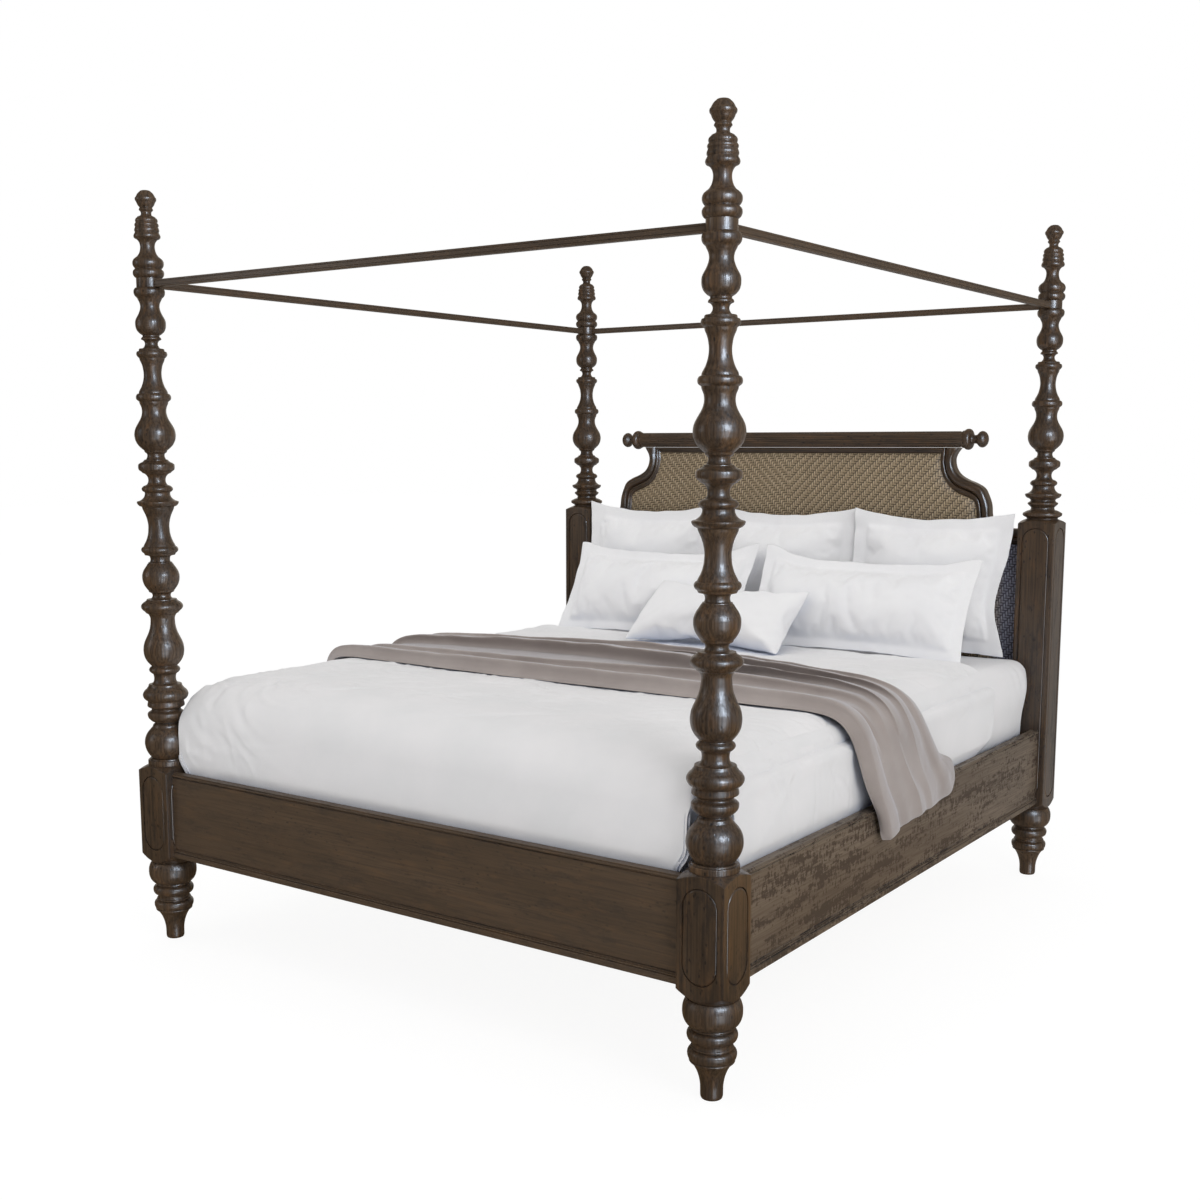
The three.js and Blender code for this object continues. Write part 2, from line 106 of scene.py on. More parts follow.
class Value:
    """The output of a shader node. Arithmetic on it adds Math nodes."""

    def __init__(self, shader, socket):
        self.shader = shader
        self.socket = socket

    def __add__(self, other):
        return self.shader.math("ADD", self, other)

    def __radd__(self, other):
        return self.shader.math("ADD", other, self)

    def __sub__(self, other):
        return self.shader.math("SUBTRACT", self, other)

    def __rsub__(self, other):
        return self.shader.math("SUBTRACT", other, self)

    def __mul__(self, other):
        return self.shader.math("MULTIPLY", self, other)

    def __rmul__(self, other):
        return self.shader.math("MULTIPLY", other, self)

    def __truediv__(self, other):
        return self.shader.math("DIVIDE", self, other)

    def remap(self, start, end, low=0.0, high=1.0):
        """Maps [start, end] to [low, high], clamped."""
        ins = {"Value": self, "From Min": start, "From Max": end, "To Min": low, "To Max": high}
        return self.shader.node("MapRange", ins, clamp=True)


class Shader:
    """A node tree, written as expressions."""

    def __init__(self, tree, output):
        self.tree = tree
        tree.nodes.clear()
        self.surface = tree.nodes.new("ShaderNode" + output).inputs[0]

    def put(self, socket, value):
        if isinstance(value, Value):
            self.tree.links.new(value.socket, socket)
        elif value is not None:
            socket.default_value = value

    def node(self, kind, inputs=None, output=0, **settings):
        """Adds a node; gives one of its outputs, or a list where output is a tuple."""
        node = self.tree.nodes.new("ShaderNode" + kind)
        for key, value in settings.items():
            setattr(node, key, value)
        for key, value in (inputs or {}).items():
            self.put(node.inputs[key], value)
        if isinstance(output, tuple):
            return [Value(self, node.outputs[key]) for key in output]
        return Value(self, node.outputs[output])

    def math(self, operation, first, second=None):
        return self.node("Math", {0: first, 1: second}, operation=operation)

    def ramp(self, factor, stops):
        colour = self.node("ValToRGB", {0: factor})
        elements = colour.socket.node.color_ramp.elements
        while len(elements) < len(stops):
            elements.new(0.5)
        for element, (position, stop) in zip(elements, stops):
            element.position = position
            element.color = stop
        return colour

    def mix(self, factor, first, second):
        return self.node("Mix", {0: factor, 6: first, 7: second}, output=2, data_type="RGBA")

    def split(self, vector):
        return self.node("SeparateXYZ", {0: vector}, output=(0, 1, 2))

    def coords(self, scale, shift=(0, 0, 0), vary=True):
        """Scaled object coordinates, offset at random from object to object if vary is set."""
        place = self.node("TexCoord", output="Object")
        if vary:
            chance = self.node("ObjectInfo", output="Random")
            offset = {0: chance * 7.3, 1: chance * 3.7, 2: chance * 5.9}
            offset = self.node("CombineXYZ", offset)
            place = self.node("VectorMath", {0: place, 1: offset}, operation="ADD")
        return self.node("Mapping", {"Vector": place, "Scale": scale, "Location": shift})

    def noise(self, vector, detail, rough=0.5, distortion=0.0):
        ins = {"Vector": vector, "Scale": 1.0, "Detail": detail, "Roughness": rough,
               "Distortion": distortion}
        return self.node("TexNoise", ins, output="Fac")

    def cells(self, vector):
        """Distance to the nearest of a scatter of points."""
        return self.node("TexVoronoi", {"Vector": vector, "Scale": 1.0}, output="Distance")

    def openness(self, distance, samples):
        """Ambient occlusion: 1 in the open, 0 in a closed fold."""
        return self.node("AmbientOcclusion", {"Distance": distance}, output="AO",
                         samples=samples)

    def bump(self, height, distance, strength, normal=None):
        return self.node("Bump", {"Height": height, "Distance": distance,
                                  "Strength": strength, "Normal": normal})

    def finish(self, value):
        self.put(self.surface, value)

    def principled(self, **inputs):
        named = {key.replace("_", " "): value for key, value in inputs.items()}
        self.finish(self.node("BsdfPrincipled", named))


class Material(Shader):
    def __init__(self, name):
        self.material = bpy.data.materials.new(name)
        self.material.use_nodes = True
        super().__init__(self.material.node_tree, "OutputMaterial")


# =============================================================================
# Materials
# =============================================================================
def stretched(axis, along, across):
    """Texture scale for grain that runs along one axis."""
    scale = [across] * 3
    scale["xyz".index(axis)] = along
    return tuple(scale)


def dark_wood(name, axis, tone, mottle, coat, rough, sheen_and_ticks=False, streak=0.00035,
              coat_rough=0.26, hollow_shade=0.75, lines=0.0, rub=0.35):
    """Espresso-stained timber with grain along one axis.

    mottle: strength of the dark stain; streak: bump height of the grain, metres; hollow_shade:
    painted shade that darkens the hollows; rub: edges rubbed lighter by wear; lines: how far grain
    breaks the polish.
    """
    m = Material(name)

    def grain(along, across, detail, fractal=0.5, distortion=0.0, shift=(0, 0, 0)):
        scale = stretched(axis, along, across)
        return m.noise(m.coords(scale, shift), detail, fractal, distortion)

    broad = grain(along=1.2, across=9, detail=3, fractal=0.55, distortion=0.6)
    fibre = grain(along=5, across=170, detail=4, fractal=0.62, distortion=0.3)
    fine = grain(along=22, across=900, detail=2)
    mid, light = srgb(63, 48, 33), srgb(82, 64, 46)
    # side rails: a lighter base, which is painted sheen standing for the light falling on that
    # side, with short ticks across the grain in place of long patches
    if sheen_and_ticks:
        mid, light = srgb(98, 87, 75), srgb(127, 115, 101)
    base = m.mix(broad.remap(0.35, 0.68), dimmed(mid, tone), dimmed(light, tone))
    honey = grain(along=9, across=40, detail=3, fractal=0.6, distortion=0.4,
                  shift=(6.2, 1.1, 0.3))
    base = m.mix(honey.remap(0.52, 0.68) * (0.0 if sheen_and_ticks else 0.55), base,
                 dimmed(srgb(98, 70, 42), tone))
    base = m.mix(fibre.remap(0.42, 0.66) * 0.65, base, dimmed(srgb(27, 20, 14), tone))
    if sheen_and_ticks:
        # short ticks across the grain, gathered in rows along the board
        rows = grain(along=3.6, across=24, detail=3, fractal=0.6, distortion=0.2,
                     shift=(0.7, 2.3, 1.4))
        ticks = grain(along=105, across=46, detail=4, fractal=0.7, shift=(5.3, 0.3, 3.4))
        small = grain(along=22, across=110, detail=3, fractal=0.6, shift=(2.3, 5.3, 0.4))
        stain = (rows * 0.40 + ticks * 0.44 + small * 0.30).remap(0.578, 0.598)
    else:
        # long dark patches, broken up by short ticks
        patch = grain(along=7, across=26, detail=5, fractal=0.68, distortion=0.35,
                      shift=(3.1, 1.7, 0.4))
        tick = grain(along=60, across=150, detail=3, fractal=0.6, shift=(0.3, 4.0, 2.2))
        stain = patch.remap(0.52, 0.62) * tick.remap(0.38, 0.62, low=0.35, high=1.0)
    base = m.mix(stain * mottle, base, dimmed(srgb(21, 15, 10), tone))
    # pin holes, in scattered groups
    pins = m.cells(m.coords(stretched(axis, along=40, across=75)))
    gate = m.noise(m.coords((9, 9, 9), shift=(1.1, 0.2, 5.5)), detail=2)
    speck = pins.remap(0.24, 0.13) * gate.remap(0.42, 0.54)
    base = m.mix(speck * 0.8, base, srgb(20, 15, 12))
    # edges rubbed lighter by wear; painted shade darkens the hollows
    pointed = m.node("NewGeometry", output="Pointiness")
    base = m.mix(pointed.remap(0.515, 0.58) * rub, base, dimmed(srgb(104, 84, 62), tone))
    base = m.mix(pointed.remap(0.49, 0.43) * hollow_shade, base, srgb(20, 15, 11))
    roughness = rough + (fibre - 0.5) * 0.25 + stain * 0.12
    normal = m.bump(fibre, distance=streak, strength=0.75)
    normal = m.bump(fine, distance=0.0001, strength=0.5, normal=normal)
    normal = m.bump(0.0 - (speck + stain * 0.3), distance=0.0005, strength=0.6, normal=normal)
    specular = 0.4
    if lines:
        # open grain breaks the polish into long threads
        thread = grain(along=4, across=190, detail=3, fractal=0.62, distortion=0.2,
                       shift=(4.4, 2.2, 0.9))
        whole = thread.remap(0.42, 0.56, low=1.0 - lines, high=1.0)
        base = m.mix(thread.remap(0.5, 0.4) * (0.75 * lines), base, srgb(30, 22, 15))
        coat = coat * whole
        specular = specular * whole
        normal = m.bump(thread, distance=0.0005, strength=0.7, normal=normal)
    m.principled(Base_Color=base, Roughness=roughness, Normal=normal, Coat_Weight=coat,
                 Coat_Roughness=coat_rough, Coat_Normal=normal, Specular_IOR_Level=specular)
    return m.material


def pine(name, axis):
    m = Material(name)
    ring = m.noise(m.coords(stretched(axis, along=1.5, across=28)), detail=3, distortion=1.2)
    fibre = m.noise(m.coords(stretched(axis, along=8, across=350)), detail=3, rough=0.6)
    base = m.ramp(ring, [(0.3, srgb(201, 169, 122)), (0.5, srgb(187, 150, 104)),
                         (0.62, srgb(160, 120, 78)), (0.75, srgb(196, 160, 114))])
    base = m.mix(fibre * 0.35, base, srgb(140, 104, 68))
    knots = m.cells(m.coords(stretched(axis, along=2.2, across=9)))
    base = m.mix(knots.remap(0.13, 0.05), base, srgb(92, 58, 32))
    m.principled(Base_Color=base, Roughness=0.55 + fibre * 0.25,
                 Normal=m.bump(fibre, distance=0.0003, strength=0.6))
    return m.material


def steel(name):
    m = Material(name)
    brushed = m.noise(m.coords((900, 900, 14)), detail=2)
    blotch = m.noise(m.coords((14, 14, 14)), detail=4, rough=0.6)
    base = m.mix(blotch.remap(0.4, 0.65), srgb(132, 134, 136), srgb(108, 108, 106))
    m.principled(Base_Color=base, Metallic=0.95, Roughness=0.3 + blotch * 0.25,
                 Normal=m.bump(brushed, distance=0.00005, strength=0.6))
    return m.material


def raffia(name):
    """Flat khaki cane with fibres along each strand, painted shade in the gaps between the strands
    and a painted highlight on their crowns.

    It reads two mesh attributes: strand, the height in the weave, and weft, 1 on a weft strand.
    """
    m = Material(name)
    depth = m.node("Attribute", output="Fac", attribute_name="strand")
    weft = m.node("Attribute", output="Fac", attribute_name="weft")
    upright = m.noise(m.coords((700, 700, 60), vary=False), detail=3, rough=0.6)
    level = m.noise(m.coords((60, 700, 700), vary=False), detail=3, rough=0.6)
    fibre = level * weft + upright * (1.0 - weft)
    tone = m.noise(m.coords((110, 110, 110), vary=False), detail=2)
    broad = m.noise(m.coords((7, 7, 7), vary=False), detail=2)
    base = m.mix(tone.remap(0.35, 0.65), srgb(190, 168, 134), srgb(160, 140, 108))
    base = m.mix(fibre.remap(0.35, 0.7) * 0.4, base, srgb(108, 90, 62))
    base = m.mix(weft * 0.35, base, srgb(120, 103, 74))
    base = m.mix(broad.remap(0.45, 0.65) * 0.15, base, srgb(120, 100, 72))
    # painted shade in the gaps between strands, and a painted highlight on the crown of each strand
    base = m.mix(depth.remap(0.55, 0.05), base, srgb(50, 39, 26))
    base = m.mix(depth.remap(0.82, 1.0) * 0.45, base, srgb(214, 195, 162))
    # cool shade near the two outer edges, deeper where the weave is closed in
    x = m.split(m.node("NewGeometry", output="Position"))[0]
    closed = m.openness(0.16, samples=6).remap(0.95, 0.5, low=0.45, high=0.95)
    cool = m.mix(depth.remap(0.3, 0.9), srgb(66, 66, 80), srgb(148, 152, 174))
    base = m.mix(m.math("ABSOLUTE", x).remap(0.80, 0.86) * closed, base, cool)
    m.principled(Base_Color=base, Roughness=0.45 + fibre * 0.3,
                 Normal=m.bump(fibre, distance=0.0004, strength=0.7),
                 Sheen_Weight=0.25, Sheen_Roughness=0.4)
    return m.material


def woven_cloth(name, tint, shade, thread, relief, sheen, rough=0.85, slub=0.5, cool=0.0,
                sheen_tint=(1, 1, 1, 1), fold_shade=None):
    """Plain-weave cloth. The UVs are in metres, so the threads keep their true size.

    thread: period of the weave; relief: its bump height (both metres); slub: strength of the thick
    threads; cool: bluish shade in closed places; fold_shade: colour of the painted shade in closed
    folds, which also turns on a painted sheen at grazing angles.
    """
    m = Material(name)
    uv = m.node("TexCoord", output="UV")
    across, along, _ = m.split(uv)

    def uv_noise(scale, detail, fractal):
        return m.noise(m.node("Mapping", {"Vector": uv, "Scale": scale}), detail, fractal)

    turns = 2 * math.pi / thread
    wobble = uv_noise((140, 140, 140), detail=2, fractal=0.5) * 1.6
    weave = (m.math("SINE", across * turns + wobble) * m.math("SINE", along * turns + wobble))
    weave = 0.5 + weave * 0.5
    cloud = m.noise(m.coords((5, 5, 5)), detail=3, rough=0.55)
    slubs = (uv_noise((26, 700, 1), detail=3, fractal=0.6)
             + uv_noise((700, 26, 1), detail=3, fractal=0.6)) * 0.5
    base = m.mix(cloud.remap(0.35, 0.68), tint, shade)
    base = m.mix(slubs.remap(0.5, 0.72) * (0.22 * slub), base, dimmed(shade, 0.72))
    # painted shade between the threads of the weave
    base = m.mix(weave.remap(0.35, 0.0) * 0.3, base, dimmed(shade, 0.6))
    if cool:
        bluish = (0.46 * tint[0], 0.57 * tint[1], 0.80 * tint[2], 1)
        base = m.mix(m.openness(0.11, samples=6).remap(0.62, 0.15) * cool, base, bluish)
    if fold_shade:
        # painted shade in the closed folds of the cloth
        base = m.mix(m.openness(0.06, samples=8).remap(0.72, 0.12), base, fold_shade)
        # painted sheen: lighter where the cloth is seen at a grazing angle
        facing = m.node("LayerWeight", {"Blend": 0.5}, output="Facing")
        base = m.mix(m.math("POWER", facing, 2.6) * 0.45, base, srgb(190, 186, 188))
    normal = m.bump(weave, distance=relief, strength=0.6)
    normal = m.bump(slubs, distance=relief * 1.6, strength=0.5, normal=normal)
    fuzz = m.noise(m.coords((260, 260, 260)), detail=3, rough=0.6)
    normal = m.bump(fuzz, distance=relief * 1.4, strength=0.35, normal=normal)
    m.principled(Base_Color=base, Roughness=rough + (weave - 0.5) * 0.1, Normal=normal,
                 Sheen_Weight=sheen, Sheen_Roughness=0.35, Sheen_Tint=sheen_tint,
                 Specular_IOR_Level=0.25)
    return m.material


def ticking(name):
    """Mattress ticking: cream with narrow woven stripes, 22 to the metre."""
    m = Material(name)
    x, y, _ = m.split(m.node("TexCoord", output="Object"))
    stripe = m.math("FRACT", (x + y) * 22)
    line = m.math("LESS_THAN", m.math("ABSOLUTE", stripe - 0.5), 0.07)
    weave = m.noise(m.coords((900, 900, 900)), detail=2)
    base = m.mix(line, srgb(222, 218, 208), srgb(150, 158, 170))
    base = m.mix(weave * 0.25, base, srgb(180, 174, 162))
    m.principled(Base_Color=base, Roughness=0.85,
                 Normal=m.bump(weave, distance=0.0003, strength=0.6))
    return m.material


WOOD_Z = dark_wood("dark_wood_z", "z", tone=1.27, mottle=0.3, coat=0.48, rough=0.44,
                   streak=0.0006, coat_rough=0.24, lines=0.4)
WOOD_BLOCK = dark_wood("dark_wood_block", "z", tone=1.0, mottle=0.55, coat=0.5, rough=0.42,
                       coat_rough=0.2, hollow_shade=0.0, rub=0.0)
WOOD_Y = dark_wood("dark_wood_y", "y", tone=1.0, mottle=1.0, coat=0.1, rough=0.5, sheen_and_ticks=True)
WOOD_X = dark_wood("dark_wood_x", "x", tone=1.0, mottle=0.65, coat=0.15, rough=0.5)
WOOD_BAR_X = dark_wood("dark_wood_bar_x", "x", tone=0.9, mottle=0.2, coat=0.2, rough=0.5)
WOOD_BAR_Y = dark_wood("dark_wood_bar_y", "y", tone=0.9, mottle=0.2, coat=0.2, rough=0.5)
WOOD_CREST = dark_wood("dark_wood_crest", "x", tone=1.22, mottle=0.2, coat=0.3, rough=0.46)
PINE_X = pine("pine_x", "x")
PINE_Y = pine("pine_y", "y")
PINE_Z = pine("pine_z", "z")
STEEL = steel("bracket_steel")
RAFFIA = raffia("woven_raffia")
CORD = woven_cloth("raffia_cord", srgb(196, 178, 146), srgb(170, 150, 116),
                   thread=0.0022, relief=0.0004, sheen=0.1)
WHITE = srgb(238, 237, 238)
WHITE_SHADE = srgb(233, 233, 234)
SHEET = woven_cloth("sheet_cotton", WHITE, WHITE_SHADE,
                    thread=0.0007, relief=0.00008, sheen=0.12, cool=0.55)
DUVET = woven_cloth("duvet_cotton", WHITE, WHITE_SHADE,
                    thread=0.0008, relief=0.00009, sheen=0.12, cool=0.55)
PILLOW = woven_cloth("pillow_cotton", srgb(248, 248, 249), srgb(243, 243, 245),
                     thread=0.0007, relief=0.00009, sheen=0.15, cool=0.35)
THROW = woven_cloth("throw_cloth", srgb(174, 164, 159), srgb(160, 150, 145),
                    thread=0.0016, relief=0.0002, sheen=0.6, rough=0.92, slub=0.8,
                    sheen_tint=(0.88, 0.92, 1.0, 1), fold_shade=srgb(92, 82, 78))
TICK = ticking("ticking")
WOOD_MOULDING = dark_wood("dark_wood_moulding", "x", tone=0.95, mottle=0.2, coat=0.5,
                          rough=0.36)


# =============================================================================
# Mesh helpers
# =============================================================================
def register(ob, node=None, body=None):
    """Tells the frame what ob rides on, which node it replaces."""
    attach(ob, body or BODY[node])
    if node:
        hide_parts(node)


def link_object(name, mesh):
    ob = bpy.data.objects.new(name, mesh)
    bpy.context.scene.collection.objects.link(ob)
    return ob


def make(name, verts, faces, material, node=None, body=None, uv=None, sharp_angle=None):
    """A smooth-shaded, registered object. UVs are millimetres too, and end up in metres."""
    mesh = bpy.data.meshes.new(name)
    verts = np.asarray(verts, float).reshape(-1, 3) * MM
    mesh.from_pydata(verts.tolist(), [], [list(map(int, face)) for face in faces])
    mesh.validate()
    if uv is not None:
        layer = mesh.uv_layers.new(name="UVMap")
        index = np.zeros(len(mesh.loops), np.int32)
        mesh.loops.foreach_get("vertex_index", index)
        uv = np.asarray(uv, float).reshape(-1, 2)[index] * MM
        layer.data.foreach_set("uv", uv.astype(np.float32).ravel())
    mesh.shade_smooth()
    if sharp_angle:
        mark_sharp(mesh, sharp_angle)
    mesh.materials.append(material)
    ob = link_object(name, mesh)
    register(ob, node, body)
    return ob


def mark_sharp(mesh, degrees):
    bm = bmesh.new()
    bm.from_mesh(mesh)
    limit = math.radians(degrees)
    for edge in bm.edges:
        edge.smooth = not (len(edge.link_faces) == 2 and edge.calc_face_angle(0) > limit)
    bm.to_mesh(mesh)
    bm.free()


def outward_mesh(name, verts, faces):
    """A closed mesh whose faces all point outwards."""
    mesh = bpy.data.meshes.new(name)
    mesh.from_pydata((np.asarray(verts).reshape(-1, 3) * MM).tolist(), [], faces)
    bm = bmesh.new()
    bm.from_mesh(mesh)
    bmesh.ops.recalc_face_normals(bm, faces=bm.faces)
    bm.to_mesh(mesh)
    bm.free()
    return mesh


def outward_faces(verts, faces):
    mesh = outward_mesh("outward", verts, faces)
    turned_faces = [list(polygon.vertices) for polygon in mesh.polygons]
    bpy.data.meshes.remove(mesh)
    return turned_faces


def bake(ob):
    """Applies every modifier of ob."""
    depsgraph = bpy.context.evaluated_depsgraph_get()
    mesh = bpy.data.meshes.new_from_object(
        ob.evaluated_get(depsgraph), preserve_all_data_layers=True, depsgraph=depsgraph)
    ob.modifiers.clear()
    old = ob.data
    ob.data = mesh
    bpy.data.meshes.remove(old)


def weight_normals(ob):
    modifier = ob.modifiers.new("normals", "WEIGHTED_NORMAL")
    modifier.keep_sharp = True
    modifier.weight = 80
    bake(ob)


def moulded_wood(name, verts, faces, material, node, sharp_angle):
    mesh = outward_mesh(name, verts, faces)
    mesh.shade_smooth()
    mark_sharp(mesh, sharp_angle)
    mesh.materials.append(material)
    ob = link_object(name, mesh)
    weight_normals(ob)
    register(ob, node)


def points(*axes):
    """Coordinate arrays of any matching shapes, stacked into points."""
    return np.stack(np.broadcast_arrays(*axes), -1)


def circle_angles(count):
    return np.arange(count) * 2 * np.pi / count


def grid_faces(rows, columns, wrap=False, flip=False):
    """Quads of a grid whose vertex index is i * columns + j; wrap closes it along j."""
    i, j = np.meshgrid(np.arange(rows - 1), np.arange(columns if wrap else columns - 1),
                       indexing="ij")
    j2 = (j + 1) % columns
    low, high = i * columns, (i + 1) * columns
    quads = np.stack([low + j, high + j, high + j2, low + j2], -1).reshape(-1, 4)
    return (quads[:, ::-1] if flip else quads).tolist()


def cap_faces(rings, count):
    """Polygons over the first and the last ring of a tube."""
    return [list(range(count)), list(range((rings - 1) * count, rings * count))[::-1]]


def tube_faces(rings, count):
    return grid_faces(rings, count, wrap=True) + cap_faces(rings, count)


def join_parts(parts):
    all_verts, all_faces, start = [], [], 0
    for verts, faces in parts:
        all_verts.append(verts)
        all_faces += [[i + start for i in face] for face in faces]
        start += len(verts)
    return np.vstack(all_verts), all_faces


seeded = np.random.RandomState


def noise(x, y, seed):
    """Smooth 2-D gradient noise, about -0.7 to 0.7, the same for the same seed."""
    x, y = np.asarray(x, float), np.asarray(y, float)
    order = seeded(seed).permutation(256)
    angle = seeded(seed + 77).rand(256) * 2 * np.pi
    cell_x, cell_y = np.floor(x).astype(int), np.floor(y).astype(int)
    in_x, in_y = x - cell_x, y - cell_y

    def corner(i, j):
        pick = order[(order[(cell_x + i) & 255] + cell_y + j) & 255]
        return np.cos(angle[pick]) * (in_x - i) + np.sin(angle[pick]) * (in_y - j)

    def fade(t):
        return t ** 3 * (t * (t * 6 - 15) + 10)

    u, v = fade(in_x), fade(in_y)
    return ((corner(0, 0) * (1 - u) + corner(1, 0) * u) * (1 - v)
            + (corner(0, 1) * (1 - u) + corner(1, 1) * u) * v)


def ease(start, end, x):
    """Smooth step from 0 at start to 1 at end."""
    t = np.clip((np.asarray(x, float) - start) / (end - start), 0, 1)
    return t * t * (3 - 2 * t)


def bell(offset, width, power=2):
    """1 at no offset, falling smoothly to nothing over a few widths."""
    return np.exp(-np.abs(offset / width) ** power)


def spline(nodes, pieces, slack):
    """Smooth curve through the nodes.

    pieces(chord) is the number of samples in a span; slopes are kept under slack chords.
    """
    slopes = np.zeros_like(nodes)
    slopes[1:-1] = (nodes[2:] - nodes[:-2]) / 2
    slopes[0], slopes[-1] = nodes[1] - nodes[0], nodes[-1] - nodes[-2]
    out = [nodes[0]]
    for i in range(len(nodes) - 1):
        chord = np.hypot(*(nodes[i + 1] - nodes[i]))
        leave, arrive = (slope * min(1, chord * slack / max(np.hypot(*slope), 1e-12))
                         for slope in slopes[i:i + 2])
        count = pieces(chord)
        for k in range(1, count + 1):
            t = k / count
            out.append((2 * t ** 3 - 3 * t ** 2 + 1) * nodes[i]
                       + (t ** 3 - 2 * t ** 2 + t) * leave
                       + (-2 * t ** 3 + 3 * t ** 2) * nodes[i + 1]
                       + (t ** 3 - t ** 2) * arrive)
    return np.array(out)


def arc_lengths(path):
    """Distance along a path at each of its points."""
    return np.concatenate([[0], np.cumsum(np.linalg.norm(np.diff(path, axis=0), axis=1))])


def curve(nodes, count):
    """Smooth curve through the nodes, as count points evenly along its length."""
    out = spline(np.array(nodes, float), lambda chord: 12, slack=1.0)
    for _ in range(6):  # ease the joins between the nodes
        out[1:-1] = 0.25 * out[:-2] + 0.5 * out[1:-1] + 0.25 * out[2:]
    length = arc_lengths(out)
    even = np.linspace(0, length[-1], count)
    return points(np.interp(even, length, out[:, 0]), np.interp(even, length, out[:, 1]))


# =============================================================================
# Turnings
# =============================================================================
# Each entry is height:radius, from the top down; c marks a corner. The heights are above the
# floor, except the knob's, which are distances from the middle of the bed along x.
FINIAL = """
2270.3:0 2268:12.2 2264:18.2 2260:22.1 2256:24.6 2252:26.6 2249:28c 2247.5:30 2244:31 2240:30.2
2237:28c 2236:27.3 2232:25.7 2228:24.1 2224:21.5 2221:17.9 2219.5:17.6c 2216:19.9 2213:20.6
2212:20.3 2209:17c 2208:16.1 2204:14.4 2200:14.7 2197:16.5c 2193:25 2192:25.6 2188:30.7 2184:32.4
2180:32.3 2177:30.5c 2172:34 2168:34.3 2164.5:32.5c 2160:34.4 2156:36 2152:35.5 2149:33.5c
2144:36.5 2140:38.5 2136:38.8 2132:37 2130:33 2128:29 2124:25.2 2120:23 2116:21.8 2112:20.9
2108:20.7 2104:20.8 2100:21.3 2096:22.3 2092:23.2 2088:25 2084:27.3 2080:30.4 2077:34c 2076:35.9
2073:38.5c 2072:39.7 2068:43.6 2064:44.5 2060:44.7 2056:44.6 2052:43.5 2048:40.4 2045:37.8c
2044:38.1 2040:42.9 2036:44.6 2032:44.9 2028:44.6 2024:43.4 2020:39.9 2017.3:36c"""
SHAFT = """
2017:36c 1990:36c 1988:41 1984:43.9 1980:45.2 1976:44.6 1972:44.5 1968:43.4 1964:39.7 1961:36.5c
1960:35.6 1956:34.3 1952:31.7 1948:29.7 1944:28.8 1940:27.7 1936:27.4 1932:27.6 1928:28.4
1924:29.4 1920:31 1916:32.4 1912:34.4 1908:36.5 1904:39 1900:41.1 1896:42.7 1892:43.7 1888:44
1884:43.9 1880:43.8 1876:43.5 1872:42.3 1868:41 1864:38.9 1860:35.4 1856:30.9 1853:26c 1852:24.6
1848:24.2c 1846:27 1844:28.6 1840:28.9 1838:25 1836:21.9 1832:19 1828:18 1824:18.7 1820:20
1816:23 1813.4:27c 1813:34c 1812:35.8 1808:36.9 1805.4:37.5c 1805:41 1804:42.2 1800:44.5
1796:44.8 1792:43.5 1788:39 1786:37c 1784:36.2 1780:35.8 1776:33.8 1772:31.8 1768:30.2 1764:29.2
1760:27.9 1756:27.4 1752:26.8 1748:26.2 1744:25.8 1740:25.6 1736:25.7 1732:25.9 1728:26.3 1724:27
1720:27.6 1716:28.6 1712:29.8 1708:30.9 1704:32.5 1700:34.2 1696:36.3 1692:38.8 1688:41 1684:41.8
1682:41.8c 1680:47 1676:50.2 1672:50.6 1668:50.6 1664:49.9 1661:46 1658:42c 1656:41.7 1652:41.1
1648:38.9 1644:37.1 1640:36 1636:35.4 1632:35 1628:35 1624:35.3 1620:36 1616:37 1612:38.3 1608:40
1604:42 1600:44.2 1596:46.6 1592:49 1588:51.4 1584:53.6 1580:55.5 1576:57 1572:58.3 1568:59
1564:59.5 1560:60 1556:59.7 1552:59 1548:58.5 1544:57.7 1540:55.7 1536:54.1 1532:51.9 1528:48.9
1524:45.4 1520:41.2 1516:35.8 1514:33.5c 1512:33 1508:31.2 1505:27c 1504:26.1 1500:24.6 1496:25
1492:26 1488:28.7 1486.4:31c 1486:34.7c 1484:34.7c 1480:39.8 1478:43 1476:47.5 1472:52 1468:52.8
1464:52.9 1460:52.8 1456:51.3 1452:46 1450:43.5 1448:42.5 1446:40c 1444:34.5 1440:30 1436:27.1
1432:25.6 1428:25 1424:25.1 1420:25.4 1416:26.8 1412:29.6 1410:33c 1408:38.6 1404:44 1400:45.9
1396:45.6 1392:42.7 1390:38 1388:36.8c 1384:36.5 1380:37.2 1376:38.8 1372:41.3 1368:44.9 1364:52
1362:59 1360:61.2c 1356:60.5 1352:58.6 1348:54.2 1345.3:47c"""
NECK = """
1345:46c 1342:42 1339:41 1336:42.5 1333:46c 1331.5:50 1329.5:51.5 1326:51 1323:48 1319:43
1316:39.6 1313:38.5 1309:39.5 1306:42c 1303:52 1299:60 1295:65.4 1291:66.7 1287:65.4 1283:60.5
1280:54c 1277.5:52 1274.3:51.6c"""
